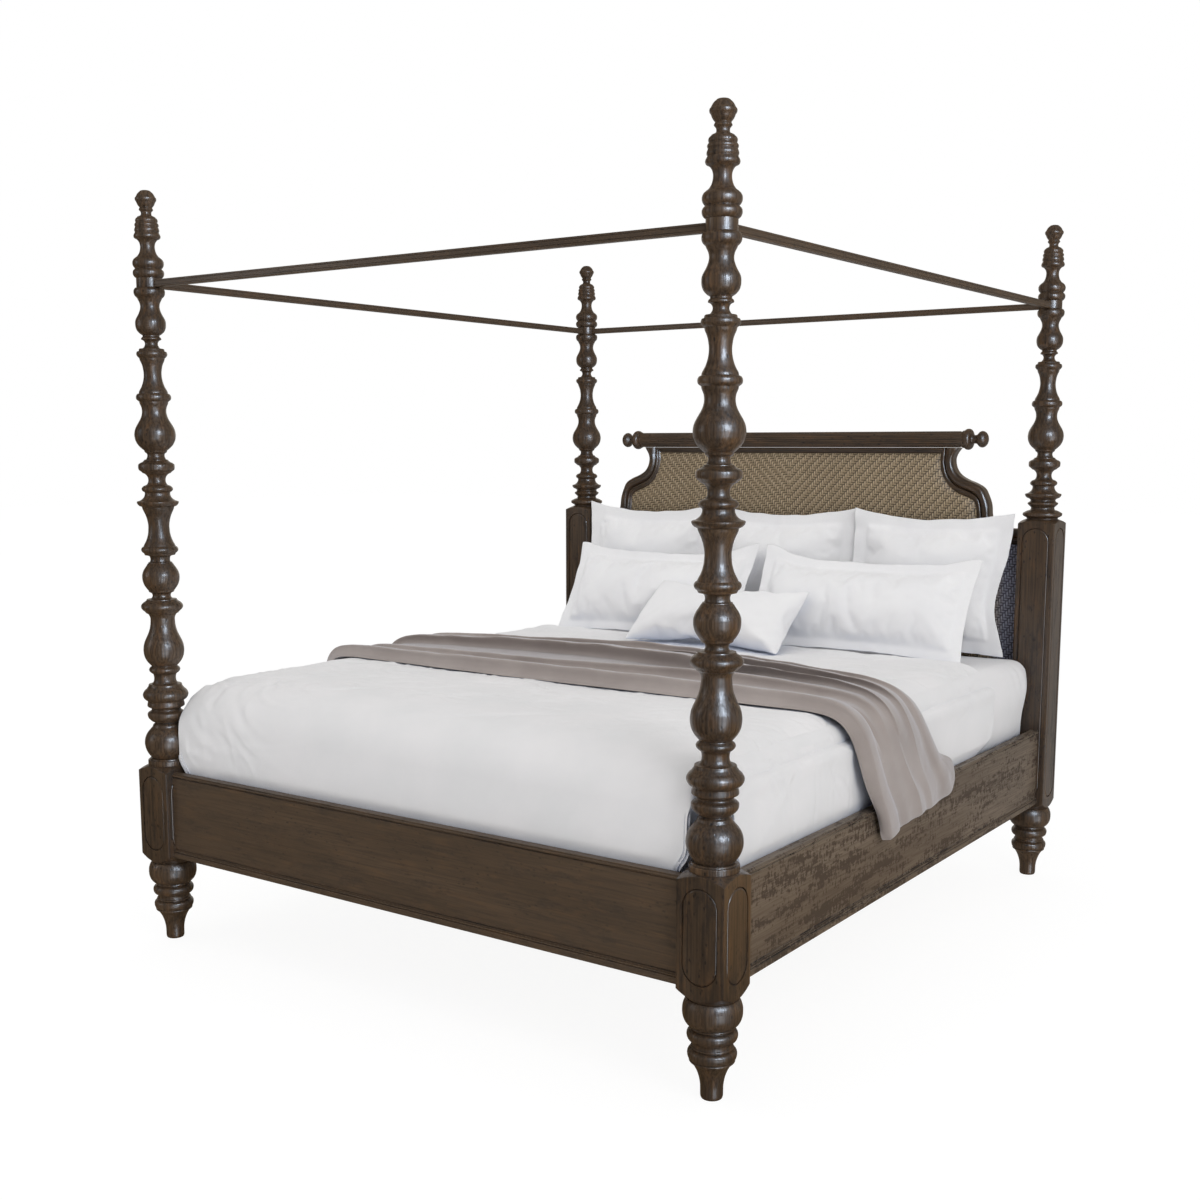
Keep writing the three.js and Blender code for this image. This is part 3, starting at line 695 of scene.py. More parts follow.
LOWER = """
1345:47c 1344:46.7 1340:45.9 1336:44.3 1332:42.4 1328:40.4 1324:38.4 1320:37.2 1316:35.5
1312:34.5 1308:33.4 1304:32.7 1300:32 1296:31.2 1292:30.8 1288:30.6 1284:30.6 1280:30.9 1276:31.2
1272:31.5 1268:31.7 1264:32.2 1260:33.3 1256:34.4 1252:35.1 1248:36.8 1244:38.3 1240:40 1236:42.2
1232:44.9 1228:46.3 1226:47c 1224:50.8 1220:54.1 1216:54.4 1212:53.8 1208:49.8 1206:46.5c
1204:45.9 1200:44c 1199:38 1196:30.8 1192:28.8 1188:28.4 1184:28.5 1180:29.8 1178.4:32c 1178:34.6
1176:35 1172:38.5c 1168:40 1164:43.8 1160:46.4 1156:48.7 1152:51 1148:52.1 1144:53.8 1140:54.4
1136:54.6 1132:54.6 1128:54.5 1124:54 1120:53.2 1116:52.1 1112:50.7 1108:48.9 1104:46.5 1100:43.7
1096:40.5 1093:38c 1092:37.9 1088:36 1086:32c 1084:28.6 1080:26.6 1076:26.4 1072:27.4 1068:30.9
1066.4:36c 1066:44 1064:44.3 1060:47.8c 1056:54.5 1052:59 1048:61.1 1044:62 1040:61.5 1036:59
1032:55 1029:51.5c 1028:50.4 1024:47.5c 1022:43 1020:41.3 1016:38.5 1012:36.7 1008:35.8 1004:35.6
1000:35.9 996:36.1 992:36.3 988:36.6 984:37.4 980:38.1 976:38.7 972:40.3 968:41.3 964:42.8
960:44.5 956:46.1 952:48.3 948:49.8 944:51.9 940:54.1 936:55.2 932:56.9 928:58 924:58.6 920:59.2
916:59.7 912:60 908:60 904:59.7 900:59.3 896:58.5 892:57.8 888:56.5 884:54.8 880:52.7 876:50.3
872:47.6 868:43.9 864:39.8 862:37.5c 860:38.5 856:43.8 852:46.2 848:46.3 844:44.4 840:40 837:35.5c
836:34.5 832:33 828:32.2 824:32 820:32.2 816:32.6 812:34.2 808:36.8 805.4:40c 805:48 804:48.8
800:50 798:50c 795:52.3 790:56 786:61 780:66 775:67.5 770:67.5 765:66 760:63 756:58 753:53.5c
750:52.5 745:55 740:56 736:54 732:47 730:44c 727:42.5 725:42.5 722:46 720:50.5 717:54.5 715:55.6
710:55.8 705:55.2 700:53 695:49 690:42 688:38c 685:34.8 682:37 680:40.5 676:41.5 672:43 670:44.5
665:49.5 660:54.5 655:58 650:61 645:63.5 640:65 635:66.3 630:67.1 625:67.4 620:67.4 615:66.8
610:65.6 605:64.5 600:62.5 595:60.3 590:57.7 585:54 580:50 576:47c 575.5:53.6c 571.4:54c
571:58.6c 569.5:59.5 557:59.5 555.3:58.8c"""
LEG = """
252.7:60c 251.8:61.4 250.6:61.2c 249.8:59c 248.6:58.8c 247.8:62.2c 244:65.4 240:67.4 236:69
232:70.2 228:71.2 224:71.6 220:71.7 216:71.8 212:71.6 208:71.3 204:70.5 200:69.3 196:68 192:65.9
188:63.2 184.5:60 181.5:56.6c 180.6:53.4c 179.4:51.8c 177:53 174.6:52c 173.8:49.4c 172.2:49.2c
171.4:52.6c 169.2:56.4 166:59.3 162:60.8 158:61 154:60.4 150:59 147:57 144.6:54.4c 143.8:50.8c
142.8:48.4c 139:47.6 135:47.4 131.6:48c 130.9:50.2c 128.7:51.3 126.5:50.4c 125.7:48.2c 124.5:48.4c
123.8:52c 121.6:55.8 118.2:58.3 114:59.2 110:59.1 106:58.4 102:57 99.2:55.4c 98.4:53.2c 97.4:53c
96.6:54.4c 94.2:54.8 91.8:53c 91:50.4c 88:47.4 84:44.6 80:42.2 76:40.1 72:37.9 68:36 64:34.9
60:33.1 56:32 52:30.8 48:30 44:29.2 40:28.6 36:28 32:27.5 24:27.3 16:27.3 8:27.3 4:26.6 1:25
0:23.5c"""
KNOB = """
778:0 777.6:6 776.3:12 773.8:18 770:23.4 765:27.6 760:29.4 755:29.3 750:27.6 746:24.4 742:19.5
739:16.4c 735:14.9 728:14.8 724:16 721.5:19c 720.5:22c 719:28 716.5:33.5 712:37 706:38 700.5:36.8
697.5:34.6 696:33c 694.5:31.6c 692:31.2 688.3:31c"""
TURNING_SEGMENTS = 56
CORNER_EASE = 0.6  # the most a corner is cut back on each side


def profile(table, step=1.7):
    """Points (height, radius): smooth runs between the table's corners, corners just eased."""
    runs = [[]]
    for entry in table.split():
        height, radius = entry.split(":")
        point = (float(height), float(radius.rstrip("c")))
        runs[-1].append(point)
        if radius.endswith("c"):
            runs.append([point])
    line = []
    for run in runs:
        if len(run) < 2:
            continue
        run = np.array(run)
        if len(run) > 4:
            soft = run[:, 1].copy()
            soft[1:-1] = 0.25 * run[:-2, 1] + 0.5 * run[1:-1, 1] + 0.25 * run[2:, 1]
            tight = np.abs(soft - run[:, 1]) > 0.9  # tight features keep their size
            run[:, 1] = np.where(tight, run[:, 1], soft)
        if len(run) > 2:
            run = spline(run, lambda chord: max(1, int(math.ceil(chord / step))), slack=1.2)
        if line:
            corner = run[0]
            back, ahead = line[-2] - corner, run[1] - corner
            back_length, ahead_length = np.hypot(*back), np.hypot(*ahead)
            cut = min(CORNER_EASE, 0.4 * back_length, 0.4 * ahead_length)
            back, ahead = back / max(back_length, 1e-6), ahead / max(ahead_length, 1e-6)
            line[-1] = corner + back * cut
            line += [corner + (back + ahead) * cut * 0.25, corner + ahead * cut]
            line.extend(run[1:])
        else:
            line.extend(run)
    return [(height, max(radius, 0.0)) for height, radius in thin_line(np.array(line))]


def thin_line(line, tolerance=0.05, longest=9.0):
    """Drops points that lie within tolerance of the line between those kept."""
    keep = np.zeros(len(line), bool)
    keep[0] = keep[-1] = True
    stack = [(0, len(line) - 1)]
    while stack:
        first, last = stack.pop()
        if last - first < 2:
            continue
        chord = line[last] - line[first]
        length = np.hypot(*chord)
        off = line[first + 1:last] - line[first]
        error = np.abs(off[:, 0] * chord[1] - off[:, 1] * chord[0]) / max(length, 1e-9)
        worst = int(np.argmax(error))
        if error[worst] > tolerance or length > longest:
            split = worst + 1 if error[worst] > tolerance else (last - first) // 2
            split += first
            keep[split] = True
            stack += [(first, split), (split, last)]
    return line[keep]


def lathe(outline):
    """Vertices and faces of a turning about z. The outline runs from the top down."""
    height, radius = np.array(outline).T
    angle = circle_angles(TURNING_SEGMENTS)
    top = height[0]
    pointed = radius[0] < 1e-6
    if pointed:
        height, radius = height[1:], radius[1:]
    verts = points(radius[:, None] * np.cos(angle), radius[:, None] * np.sin(angle),
                   height[:, None]).reshape(-1, 3)
    faces = grid_faces(len(height), TURNING_SEGMENTS, wrap=True)
    top_cap, bottom_cap = cap_faces(len(height), TURNING_SEGMENTS)
    if pointed:
        tip = len(verts)
        verts = np.vstack([verts, [[0, 0, top]]])
        faces += [[tip, i, (i + 1) % TURNING_SEGMENTS] for i in range(TURNING_SEGMENTS)]
    else:
        faces.append(top_cap)
    faces.append(bottom_cap)
    return verts, faces


finial, shaft, neck, lower, leg = map(profile, (FINIAL, SHAFT, NECK, LOWER, LEG))
for tag, at in POSTS.items():
    pieces = {"leg": leg, "finial": finial}
    if tag.startswith("foot"):
        pieces.update(post_upper=shaft, post_lower=lower)
    else:
        pieces["post_upper"] = shaft[:-1] + neck
    for piece, outline in pieces.items():
        verts, faces = lathe(outline)
        node = f"{piece}_{tag}"
        make(node + "_turned", verts + np.array([at.x, at.y, 0]), faces, WOOD_Z,
             node, sharp_angle=50)


# =============================================================================
# Square post blocks: coned ends and a routed, round-ended panel on each face
# =============================================================================
BLOCK_HALF = 64.5
BLOCK_SEGMENTS = 192
BLOCK_CORNER_R = 91.6   # radius to the eased corners
BLOCK_LOW = 253.0
LOW_CONE_TOP = 277.0
LOW_CONE_R = 63.0
CONE_STEPS = 16
PANEL_LOW = 293.0
PANEL_HALF = 46.5
# routed line: (distance outwards from the panel's edge, depth into the face)
GROOVE = [(-5.6, -1.5), (-5.4, 0.0), (-4.4, 0.14), (-3.4, 0.46), (-2.5, 1.0), (-1.75, 1.75),
          (-1.2, 2.6), (-0.85, 3.5), (-0.75, 4.0), (0.9, 4.0), (1.2, 3.3), (1.4, -1.5)]
# end: (cone start height, cone top radius, cone top height, panel top height)
BLOCK_SIZES = {"foot": (537, 59.5, 555, 524), "head": (1258, 55, 1274, 1244)}


def block_body(cone_low, cone_r, cone_top):
    """Rings of a square clipped by a circle that narrows at both ends."""
    angle = circle_angles(BLOCK_SEGMENTS) + np.pi / 4
    square = BLOCK_HALF / (np.abs(np.cos(angle)) ** 40 + np.abs(np.sin(angle)) ** 40) ** (1 / 40)
    steps = [i / CONE_STEPS for i in range(CONE_STEPS + 1)]
    heights = [BLOCK_LOW + (LOW_CONE_TOP - BLOCK_LOW) * t for t in steps]
    heights += [LOW_CONE_TOP + 2, cone_low - 2]
    heights += [cone_low + (cone_top - cone_low) * t for t in steps]
    radii = [LOW_CONE_R + (BLOCK_CORNER_R - LOW_CONE_R) * t ** 0.92 for t in steps]
    radii += [95, 95]  # clear of the corners: the full square
    radii += [BLOCK_CORNER_R + (cone_r - BLOCK_CORNER_R) * t ** 1.05 for t in steps]
    radius = np.minimum(np.array(radii)[:, None], square[None, :])
    verts = points(radius * np.cos(angle), radius * np.sin(angle), np.array(heights)[:, None])
    rings = len(heights)
    faces = grid_faces(rings, BLOCK_SEGMENTS, wrap=True, flip=True)
    faces += [cap[::-1] for cap in cap_faces(rings, BLOCK_SEGMENTS)]
    return verts, faces


def groove_cutter(panel_top):
    """A ring that cuts the routed line round the panel of the face towards -y."""
    path, outward = [], []
    for start, mid_z in ((0, panel_top - PANEL_HALF), (math.pi, PANEL_LOW + PANEL_HALF)):
        for k in range(29):
            angle = start + math.pi * k / 28
            way = (math.cos(angle), math.sin(angle))
            path.append((PANEL_HALF * way[0], mid_z + PANEL_HALF * way[1]))
            outward.append(way)
    path, outward = np.array(path)[:, None], np.array(outward)[:, None]
    offset, depth = np.array(GROOVE).T
    at = path + outward * offset[:, None]
    verts = points(at[..., 0], -BLOCK_HALF + depth, at[..., 1]).reshape(-1, 3)
    count, width = len(path), len(GROOVE)
    # close the ring along the path as well
    faces = []
    for i in range(count):
        for j in range(width):
            i2, j2 = (i + 1) % count, (j + 1) % width
            faces.append([i * width + j, i2 * width + j, i2 * width + j2, i * width + j2])
    return verts, faces


def build_block(cone_low, cone_r, cone_top, panel_top):
    body = link_object("block", outward_mesh("block", *block_body(cone_low, cone_r, cone_top)))
    cutters = []
    verts, faces = groove_cutter(panel_top)
    for k in range(4):
        c, s = math.cos(k * math.pi / 2), math.sin(k * math.pi / 2)
        turn = np.array([[c, -s, 0], [s, c, 0], [0, 0, 1]])
        cutter = link_object(f"cut_{k}", outward_mesh(f"cut_{k}", verts @ turn.T, faces))
        modifier = body.modifiers.new(f"cut{k}", "BOOLEAN")
        modifier.object = cutter
        modifier.operation = "DIFFERENCE"
        modifier.solver = "EXACT"
        cutters.append(cutter)
    bake(body)
    mesh = body.data
    for ob in cutters + [body]:
        bpy.data.objects.remove(ob)
    bm = bmesh.new()
    bm.from_mesh(mesh)
    bmesh.ops.dissolve_limit(bm, angle_limit=math.radians(0.4), verts=bm.verts, edges=bm.edges)
    bmesh.ops.triangulate(bm, faces=[face for face in bm.faces if len(face.verts) > 4])
    bm.to_mesh(mesh)
    bm.free()
    mesh.shade_smooth()
    mark_sharp(mesh, 28)
    return mesh


BLOCKS = {end: build_block(*sizes) for end, sizes in BLOCK_SIZES.items()}
for tag, at in POSTS.items():
    node = f"post_block_{tag}"
    mesh = BLOCKS[tag.split("_")[0]].copy()
    mesh.transform(Matrix.Translation((at.x * MM, at.y * MM, 0)))
    mesh.materials.clear()
    mesh.materials.append(WOOD_BLOCK)
    ob = link_object(node + "_panelled", mesh)
    weight_normals(ob)
    register(ob, node)


# =============================================================================
# Rails: a section swept along an axis
# =============================================================================
def sweep(name, section, start, end, place, material, node):
    """section: closed list of (u, z). place(a, u, z) gives x, y, z at a along the sweep."""
    verts = np.array([place(a, u, z) for a in (start, end) for u, z in section])
    moulded_wood(name, verts, tube_faces(2, len(section)), material, node, sharp_angle=24)


def arc(centre_u, centre_z, radius, start, end, count):
    """Points of an arc, its angles in degrees."""
    angles = [math.radians(start + (end - start) * i / count) for i in range(count + 1)]
    return [(centre_u + radius * math.cos(a), centre_z + radius * math.sin(a)) for a in angles]


# (distance outside the post's centre line, height), up the outer face from the bottom:
# a board with a groove near each edge, then a rounded cap and a flat ledge
RAIL = (
    [(10.2, 275.2), (37.2, 275.2), (38, 276), (38, 299.2), (37.5, 299.6), (36.4, 300.2),
     (36.2, 301.4), (36.6, 302.8), (37.6, 303.4), (38, 304), (38, 523.6), (37.6, 524.2),
     (36.2, 524.8), (36.0, 526), (36.6, 527.2), (38.2, 527.6)]
    + arc(38.4, 531.4, 2.2, -78, 78, 8)
    + [(37.6, 534.4), (36.6, 535.2)]
    + arc(35.2, 536.0, 1.9, 10, 85, 4)
    + [(12, 538), (10.7, 537.5), (10.2, 536.4)]
)
# strip along the foot of the board
BASE = (
    [(38.3, 275), (42.4, 275)] + arc(42.4, 276.6, 1.6, -80, -5, 4)
    + [(44, 289.2)] + arc(42.6, 289.4, 1.4, 5, 80, 4)
    + [(41.2, 291.2), (40.4, 291.7), (40.3, 292.6)]
    + arc(40.2, 294.6, 1.9, -70, 85, 7) + [(38.9, 296.4), (38.3, 296.2)]
)


def rail_pair(rail, base, tag, start, end, place, material):
    sweep(f"{rail}_moulded", RAIL, start, end, place, material, rail)
    sweep(f"rail_base_{tag}_moulded", BASE, start, end, place, material, base)


for side, sx in SIDES.items():
    lo, hi = box_mm(f"side_rail_{side}")
    rail_pair(f"side_rail_{side}", f"rail_base_moulding_{side}", side, lo[1], hi[1],
              lambda a, u, z: (sx * (POST_X + u), a, z), WOOD_Y)
lo, hi = box_mm("footboard_rail")
rail_pair("footboard_rail", "rail_base_moulding_foot", "foot", lo[0], hi[0],
          lambda a, u, z: (a, -(POST_Y + u), z), WOOD_X)

CANOPY_HALF = 10.5


def canopy_section():
    """Square bar with eased arrises and two shallow grooves along each face."""
    half, depth = CANOPY_HALF, 0.7
    face = [(half, -half + 2.2), (half, -half + 4.6), (half - depth, -half + 5.2),
            (half - depth, -half + 5.8), (half, -half + 6.4)]
    face += [(u, -w) for u, w in face[::-1]]
    face += arc(half - 2.2, half - 2.2, 2.2, 10, 80, 4)
    out = []
    for quarter in range(4):
        angle = math.radians(quarter * 90)
        c, s = math.cos(angle), math.sin(angle)
        out += [(c * u - s * w, s * u + c * w) for u, w in face]
    return out


for name, along_y, line in [("left", True, -POST_X), ("right", True, POST_X),
                            ("foot", False, -POST_Y), ("head", False, POST_Y)]:
    node = f"canopy_rail_{name}"
    (x0, y0, z0), (x1, y1, z1) = box_mm(node)
    mid_z = (z0 + z1) / 2
    if along_y:
        sweep(node + "_bar", canopy_section(), y0, y1,
              lambda a, u, z: (line + u, a, mid_z + z), WOOD_BAR_Y, node)
    else:
        sweep(node + "_bar", canopy_section(), x0, x1,
              lambda a, u, z: (a, line + u, mid_z + z), WOOD_BAR_X, node)


# =============================================================================
# Headboard frame: a large bead and a cove between the silhouette and the weave
# =============================================================================
# (x, z) from the post to the crest, on the +x half
SILHOUETTE = [
    (912.7, 1238), (855, 1238), (828, 1241), (810, 1249), (799, 1262), (794, 1278),
    (792, 1292), (789, 1321), (777, 1353), (763, 1377), (735, 1394), (702, 1407), (672, 1425),
    (655, 1450), (650, 1478), (656, 1498), (672, 1520.6)]
WEAVE_EDGE = [
    (912.7, 1183), (840, 1183), (800, 1186), (775, 1195), (757, 1212), (746, 1235),
    (741, 1262), (739, 1286), (735, 1315), (727, 1330), (705, 1343), (660, 1361), (633, 1381),
    (612, 1410), (600, 1443), (595.5, 1474), (598, 1497)]
FRAME_STATIONS = 150
FRAME_END_X = 912.7
FRAME_TOP_Z = 1520.4
FRAME_BACK_Y = 1134.0
GROOVE_OFFSET = 23.6  # from the weave's edge out to the groove
# (share of the way from the silhouette to the groove, y of the front surface)
BEAD = [(0.0, 1100.5), (0.02, 1098.0), (0.06, 1094.6), (0.12, 1091.4), (0.2, 1088.6),
        (0.3, 1086.9), (0.42, 1086.2), (0.54, 1086.5), (0.66, 1087.9), (0.76, 1090.2),
        (0.85, 1093.4), (0.92, 1096.8), (0.97, 1099.6), (1.0, 1101.0)]
# (share of the way from the groove to the weave, y): a small bead, then a cove
COVE = [(0.0, 1101.0), (0.04, 1097.6), (0.1, 1095.0), (0.18, 1093.4), (0.26, 1093.0),
        (0.34, 1093.8), (0.40, 1095.6), (0.44, 1097.4), (0.50, 1098.2), (0.58, 1098.8),
        (0.68, 1100.6), (0.78, 1102.9), (0.88, 1105.0), (0.96, 1106.2), (1.0, 1106.6)]

outer_edge = curve(SILHOUETTE, FRAME_STATIONS)
weave_edge = curve(WEAVE_EDGE, FRAME_STATIONS)


def groove_line():
    tangent = np.gradient(weave_edge, axis=0)
    tangent /= np.hypot(tangent[:, 0], tangent[:, 1])[:, None]
    outward = points(tangent[:, 1], -tangent[:, 0])
    if outward[FRAME_STATIONS // 2, 0] < 0:
        outward = -outward
    line = weave_edge + outward * GROOVE_OFFSET
    line[0] = (FRAME_END_X, weave_edge[0, 1] + GROOVE_OFFSET)
    line[-1] = (weave_edge[-1, 0] + GROOVE_OFFSET, FRAME_TOP_Z)
    return np.minimum(line, [FRAME_END_X, FRAME_TOP_Z])


def frame_strip(first, second, section, sx):
    """Closed tube between two (x, z) paths, with a flat back."""
    rows = []
    for (x0, z0), (x1, z1) in zip(first, second):
        row = [(sx * (x0 + (x1 - x0) * t), y, z0 + (z1 - z0) * t) for t, y in section]
        row += [(sx * x1, FRAME_BACK_Y, z1), (sx * x0, FRAME_BACK_Y, z0)]
        rows.append(row)
    rows = np.array(rows)
    return rows.reshape(-1, 3), tube_faces(*rows.shape[:2])


def both_halves(path):
    return np.vstack([path, path[::-1] * [-1, 1]])


groove_path = groove_line()
strips = [frame_strip(outer_edge, groove_path, BEAD, sx) for sx in (1, -1)]
strips.append(frame_strip(both_halves(groove_path), both_halves(weave_edge), COVE, 1))
moulded_wood("headboard_frame_moulded", *join_parts(strips), WOOD_MOULDING, "headboard_frame",
             sharp_angle=40)


# =============================================================================
# Crest roll along the top of the headboard, reeded, with a turned knob at each end
# =============================================================================
REEDS = 22
(_, low_y, low_z), (ROLL_X, high_y, high_z) = box_mm("crest_roll")
ROLL_Y, ROLL_Z, ROLL_R = (low_y + high_y) / 2, (low_z + high_z) / 2, (high_z - low_z) / 2


def crest_roll():
    count = REEDS * 8
    angle = circle_angles(count)
    reeded = ROLL_R - 0.2 - 2.4 * (1 - np.abs(np.sin(angle * REEDS / 2))) ** 1.6
    end = np.array([12, 9, 1.2, 0])
    x = np.concatenate([-ROLL_X + end[::-1], np.linspace(-ROLL_X + 40, ROLL_X - 40, 24),
                        ROLL_X - end])
    share = np.clip((ROLL_X - np.abs(x) - 9) / 3, 0, 1)[:, None]  # plain collars at the ends
    radius = (ROLL_R - 1.4) * (1 - share) + reeded * share
    verts = points(x[:, None], ROLL_Y + radius * np.cos(angle),
                   ROLL_Z + radius * np.sin(angle))
    faces = grid_faces(len(x), count, wrap=True, flip=True) + cap_faces(len(x), count)
    make("crest_roll_reeded", verts, faces, WOOD_CREST, "crest_roll",
         sharp_angle=40)


crest_roll()
knob, knob_faces = lathe(profile(KNOB, step=1.2))
for side, sx in SIDES.items():
    verts = points(sx * knob[:, 2], ROLL_Y + knob[:, 0] * sx, ROLL_Z + knob[:, 1])
    node = f"crest_knob_{side}"
    make(node + "_turned", verts, knob_faces, WOOD_CREST, node, sharp_angle=50)


# =============================================================================
# Woven panel: 2/2 twill of flat cane, the diagonal turning at the centre line
# =============================================================================
STRAND_PITCH = 8.7
WEAVE_HALF = 912.0
WEAVE_TOP = 1499.0
WEAVE_BACK_Y = 1109.7


def weave_panel():
    low_z = box_mm("headboard_weave_panel")[0][2]
    columns = int(2 * WEAVE_HALF / STRAND_PITCH)
    rows = int((WEAVE_TOP - low_z) / STRAND_PITCH) + 1
    # three samples a strand, one of them in the gap
    column_at, row_at = np.meshgrid(np.arange(columns * 3 + 1) / 3.0,
                                    np.arange(rows * 3 + 1) / 3.0, indexing="ij")
    column, row = (np.floor(at + 1e-6).astype(int) for at in (column_at, row_at))
    in_column, in_row = column_at - column, row_at - row
    half = columns // 2
    left = column < half
    phase = np.where(left, (column + row) % 4, (2 * half - 1 - column + row) % 4)
    warp_over = phase < 2
    # rise and fall of each strand along its float, which runs over two others
    along_warp = np.where(phase == 0, in_row / 2, in_row / 2 + 0.5)
    along_weft = np.where(phase == 2, 0.5 - in_column / 2, 1.0 - in_column / 2)
    along_weft = np.where(left, along_weft, 1 - along_weft)

    def strand_height(across, along, base, rise):
        swell = base + rise * np.sin(np.pi * np.clip(along, 0.02, 0.98))
        return np.where(across < 0.01, 0.0, 1.0) * swell

    height = np.where(warp_over, strand_height(in_column, along_warp, 0.45, 0.55),
                      strand_height(in_row, along_weft, 0.35, 0.5))
    jitter = (seeded(5).rand(columns + 2)[np.clip(column, 0, columns)] * 0.12
              + seeded(6).rand(rows + 2)[np.clip(row, 0, rows)] * 0.1)
    height = height * (0.9 + jitter)
    x = -columns * STRAND_PITCH / 2 + column_at * STRAND_PITCH
    x = np.clip(x, -WEAVE_HALF, WEAVE_HALF)
    z = np.minimum(low_z + row_at * STRAND_PITCH, WEAVE_TOP)
    # points beyond the frame's inner edge are pulled back to just behind the cove
    order = np.argsort(weave_edge[:, 1])
    limit = np.interp(z, weave_edge[order, 1], weave_edge[order, 0], left=WEAVE_HALF)
    limit = np.where(z < 1183, WEAVE_HALF, limit) + 7.0
    limit = np.minimum(limit, WEAVE_HALF)
    size_x = np.abs(x)
    inside = size_x <= limit + STRAND_PITCH * 0.67
    # the field is pillowed: it falls away towards the frame
    shoulder = np.where(size_x < 905, np.maximum(1185 - z, 0), limit - size_x)
    edge = np.minimum(np.minimum(limit - size_x, WEAVE_TOP - z),
                      np.where(size_x > 735, shoulder, 1e3))
    fall = 13.0 * (1 - np.clip(edge, 0, 60) / 60) ** 2.4
    y = 1093.0 + fall - 2.6 * height
    x = np.clip(x, -limit, limit)

    keep = inside[:-1, :-1] & inside[1:, :-1] & inside[1:, 1:] & inside[:-1, 1:]
    used = np.zeros(x.shape, bool)
    for part in (used[:-1, :-1], used[1:, :-1], used[1:, 1:], used[:-1, 1:]):
        part |= keep
    index = -np.ones(x.shape, int)
    index[used] = np.arange(used.sum())
    i, j = np.nonzero(keep)
    quads = np.stack([index[i, j], index[i + 1, j], index[i + 1, j + 1], index[i, j + 1]], -1)
    front = points(x[used], y[used], z[used])
    # close it with a flat back and a rim along the edges that one quad uses
    back = front.copy()
    back[:, 1] = WEAVE_BACK_Y
    shift = len(front)
    faces = quads.tolist() + (quads[:, ::-1] + shift).tolist()
    edges = np.concatenate([quads[:, [0, 1]], quads[:, [1, 2]], quads[:, [2, 3]],
                            quads[:, [3, 0]]])
    _, inverse, count = np.unique(np.sort(edges, 1), axis=0, return_inverse=True,
                                  return_counts=True)
    rim = edges[count[inverse.reshape(-1)] == 1]
    faces += [[b, a, a + shift, b + shift] for a, b in rim]
    ob = make("headboard_weave", np.vstack([front, back]), faces, RAFFIA,
              "headboard_weave_panel")
    for name, grid in (("strand", np.clip(height, 0, 1)),
                       ("weft", np.where(warp_over, 0.0, 1.0))):
        values = grid[used]
        attribute = ob.data.attributes.new(name, "FLOAT", "POINT")
        attribute.data.foreach_set(
            "value", np.concatenate([values, values * 0]).astype(np.float32))
    mark_sharp(ob.data, 70)


def twisted_cord(name, path, radius):
    """A cord along a path of points, with a twisted lay."""
    tangent = np.gradient(path, axis=0)
    tangent /= np.linalg.norm(tangent, axis=1)[:, None]
    side = np.cross(tangent, np.array([0, 1.0, 0]))
    side /= np.linalg.norm(side, axis=1)[:, None]
    other = np.cross(tangent, side)
    length = arc_lengths(path)[:, None]
    angle = circle_angles(10)
    lay = radius * (1 + 0.10 * np.cos(2 * angle + length / radius * 1.1))
    around = (np.cos(angle)[:, None] * side[:, None] + np.sin(angle)[:, None] * other[:, None])
    verts = path[:, None] + lay[..., None] * around
    faces = outward_faces(verts, tube_faces(len(path), 10))
    make(name, verts, faces, CORD, body=BODY["headboard_weave_panel"],
         uv=points(length, angle * radius))


weave_panel()
for side, sx in SIDES.items():
    z = np.arange(545, 1181, 3.0)
    twisted_cord(f"weave_cord_{side}", points(sx * 905.5, 1099.0, z), 4.6)


# =============================================================================
# Frame nodes that stay: edges eased by modifiers, own materials
# =============================================================================
def finish_node(node, material, bevel, segments=2):
    """bevel is in metres."""
    ob = frame["nodes"][node]
    ob.modifiers.new("weld", "WELD").merge_threshold = 1e-5
    easing = ob.modifiers.new("ease", "BEVEL")
    easing.width = bevel
    easing.segments = segments
    easing.limit_method = "ANGLE"
    easing.angle_limit = math.radians(35)
    easing.harden_normals = False
    ob.data.materials.clear()
    ob.data.materials.append(material)


for side in SIDES:
    finish_node(f"slat_ledger_{side}", PINE_Y, bevel=0.002)
    for end in ENDS:
        finish_node(f"rail_bracket_{end}_{side}", STEEL, bevel=0.0006)
for i in range(1, 6):
    finish_node(f"slat_{i}", PINE_X, bevel=0.003, segments=3)
for i in range(1, 4):
    finish_node(f"centre_leg_{i}", PINE_Z, bevel=0.002)
finish_node("headboard_lower_rail", WOOD_X, bevel=0.002)
finish_node("headboard_back_panel", WOOD_X, bevel=0.001)
finish_node("box_spring", TICK, bevel=0.004, segments=3)

# (share of the head's radius, height); shares under a half are the hexagon socket
SCREW_HEAD = [(1.0, 0.0), (1.0, 0.5), (0.93, 1.0), (0.7, 1.5), (0.4, 1.8), (0.34, 1.8),
              (0.32, 0.9)]
SOCKET_FLOOR = 0.9
SCREW_SEGMENTS = 20


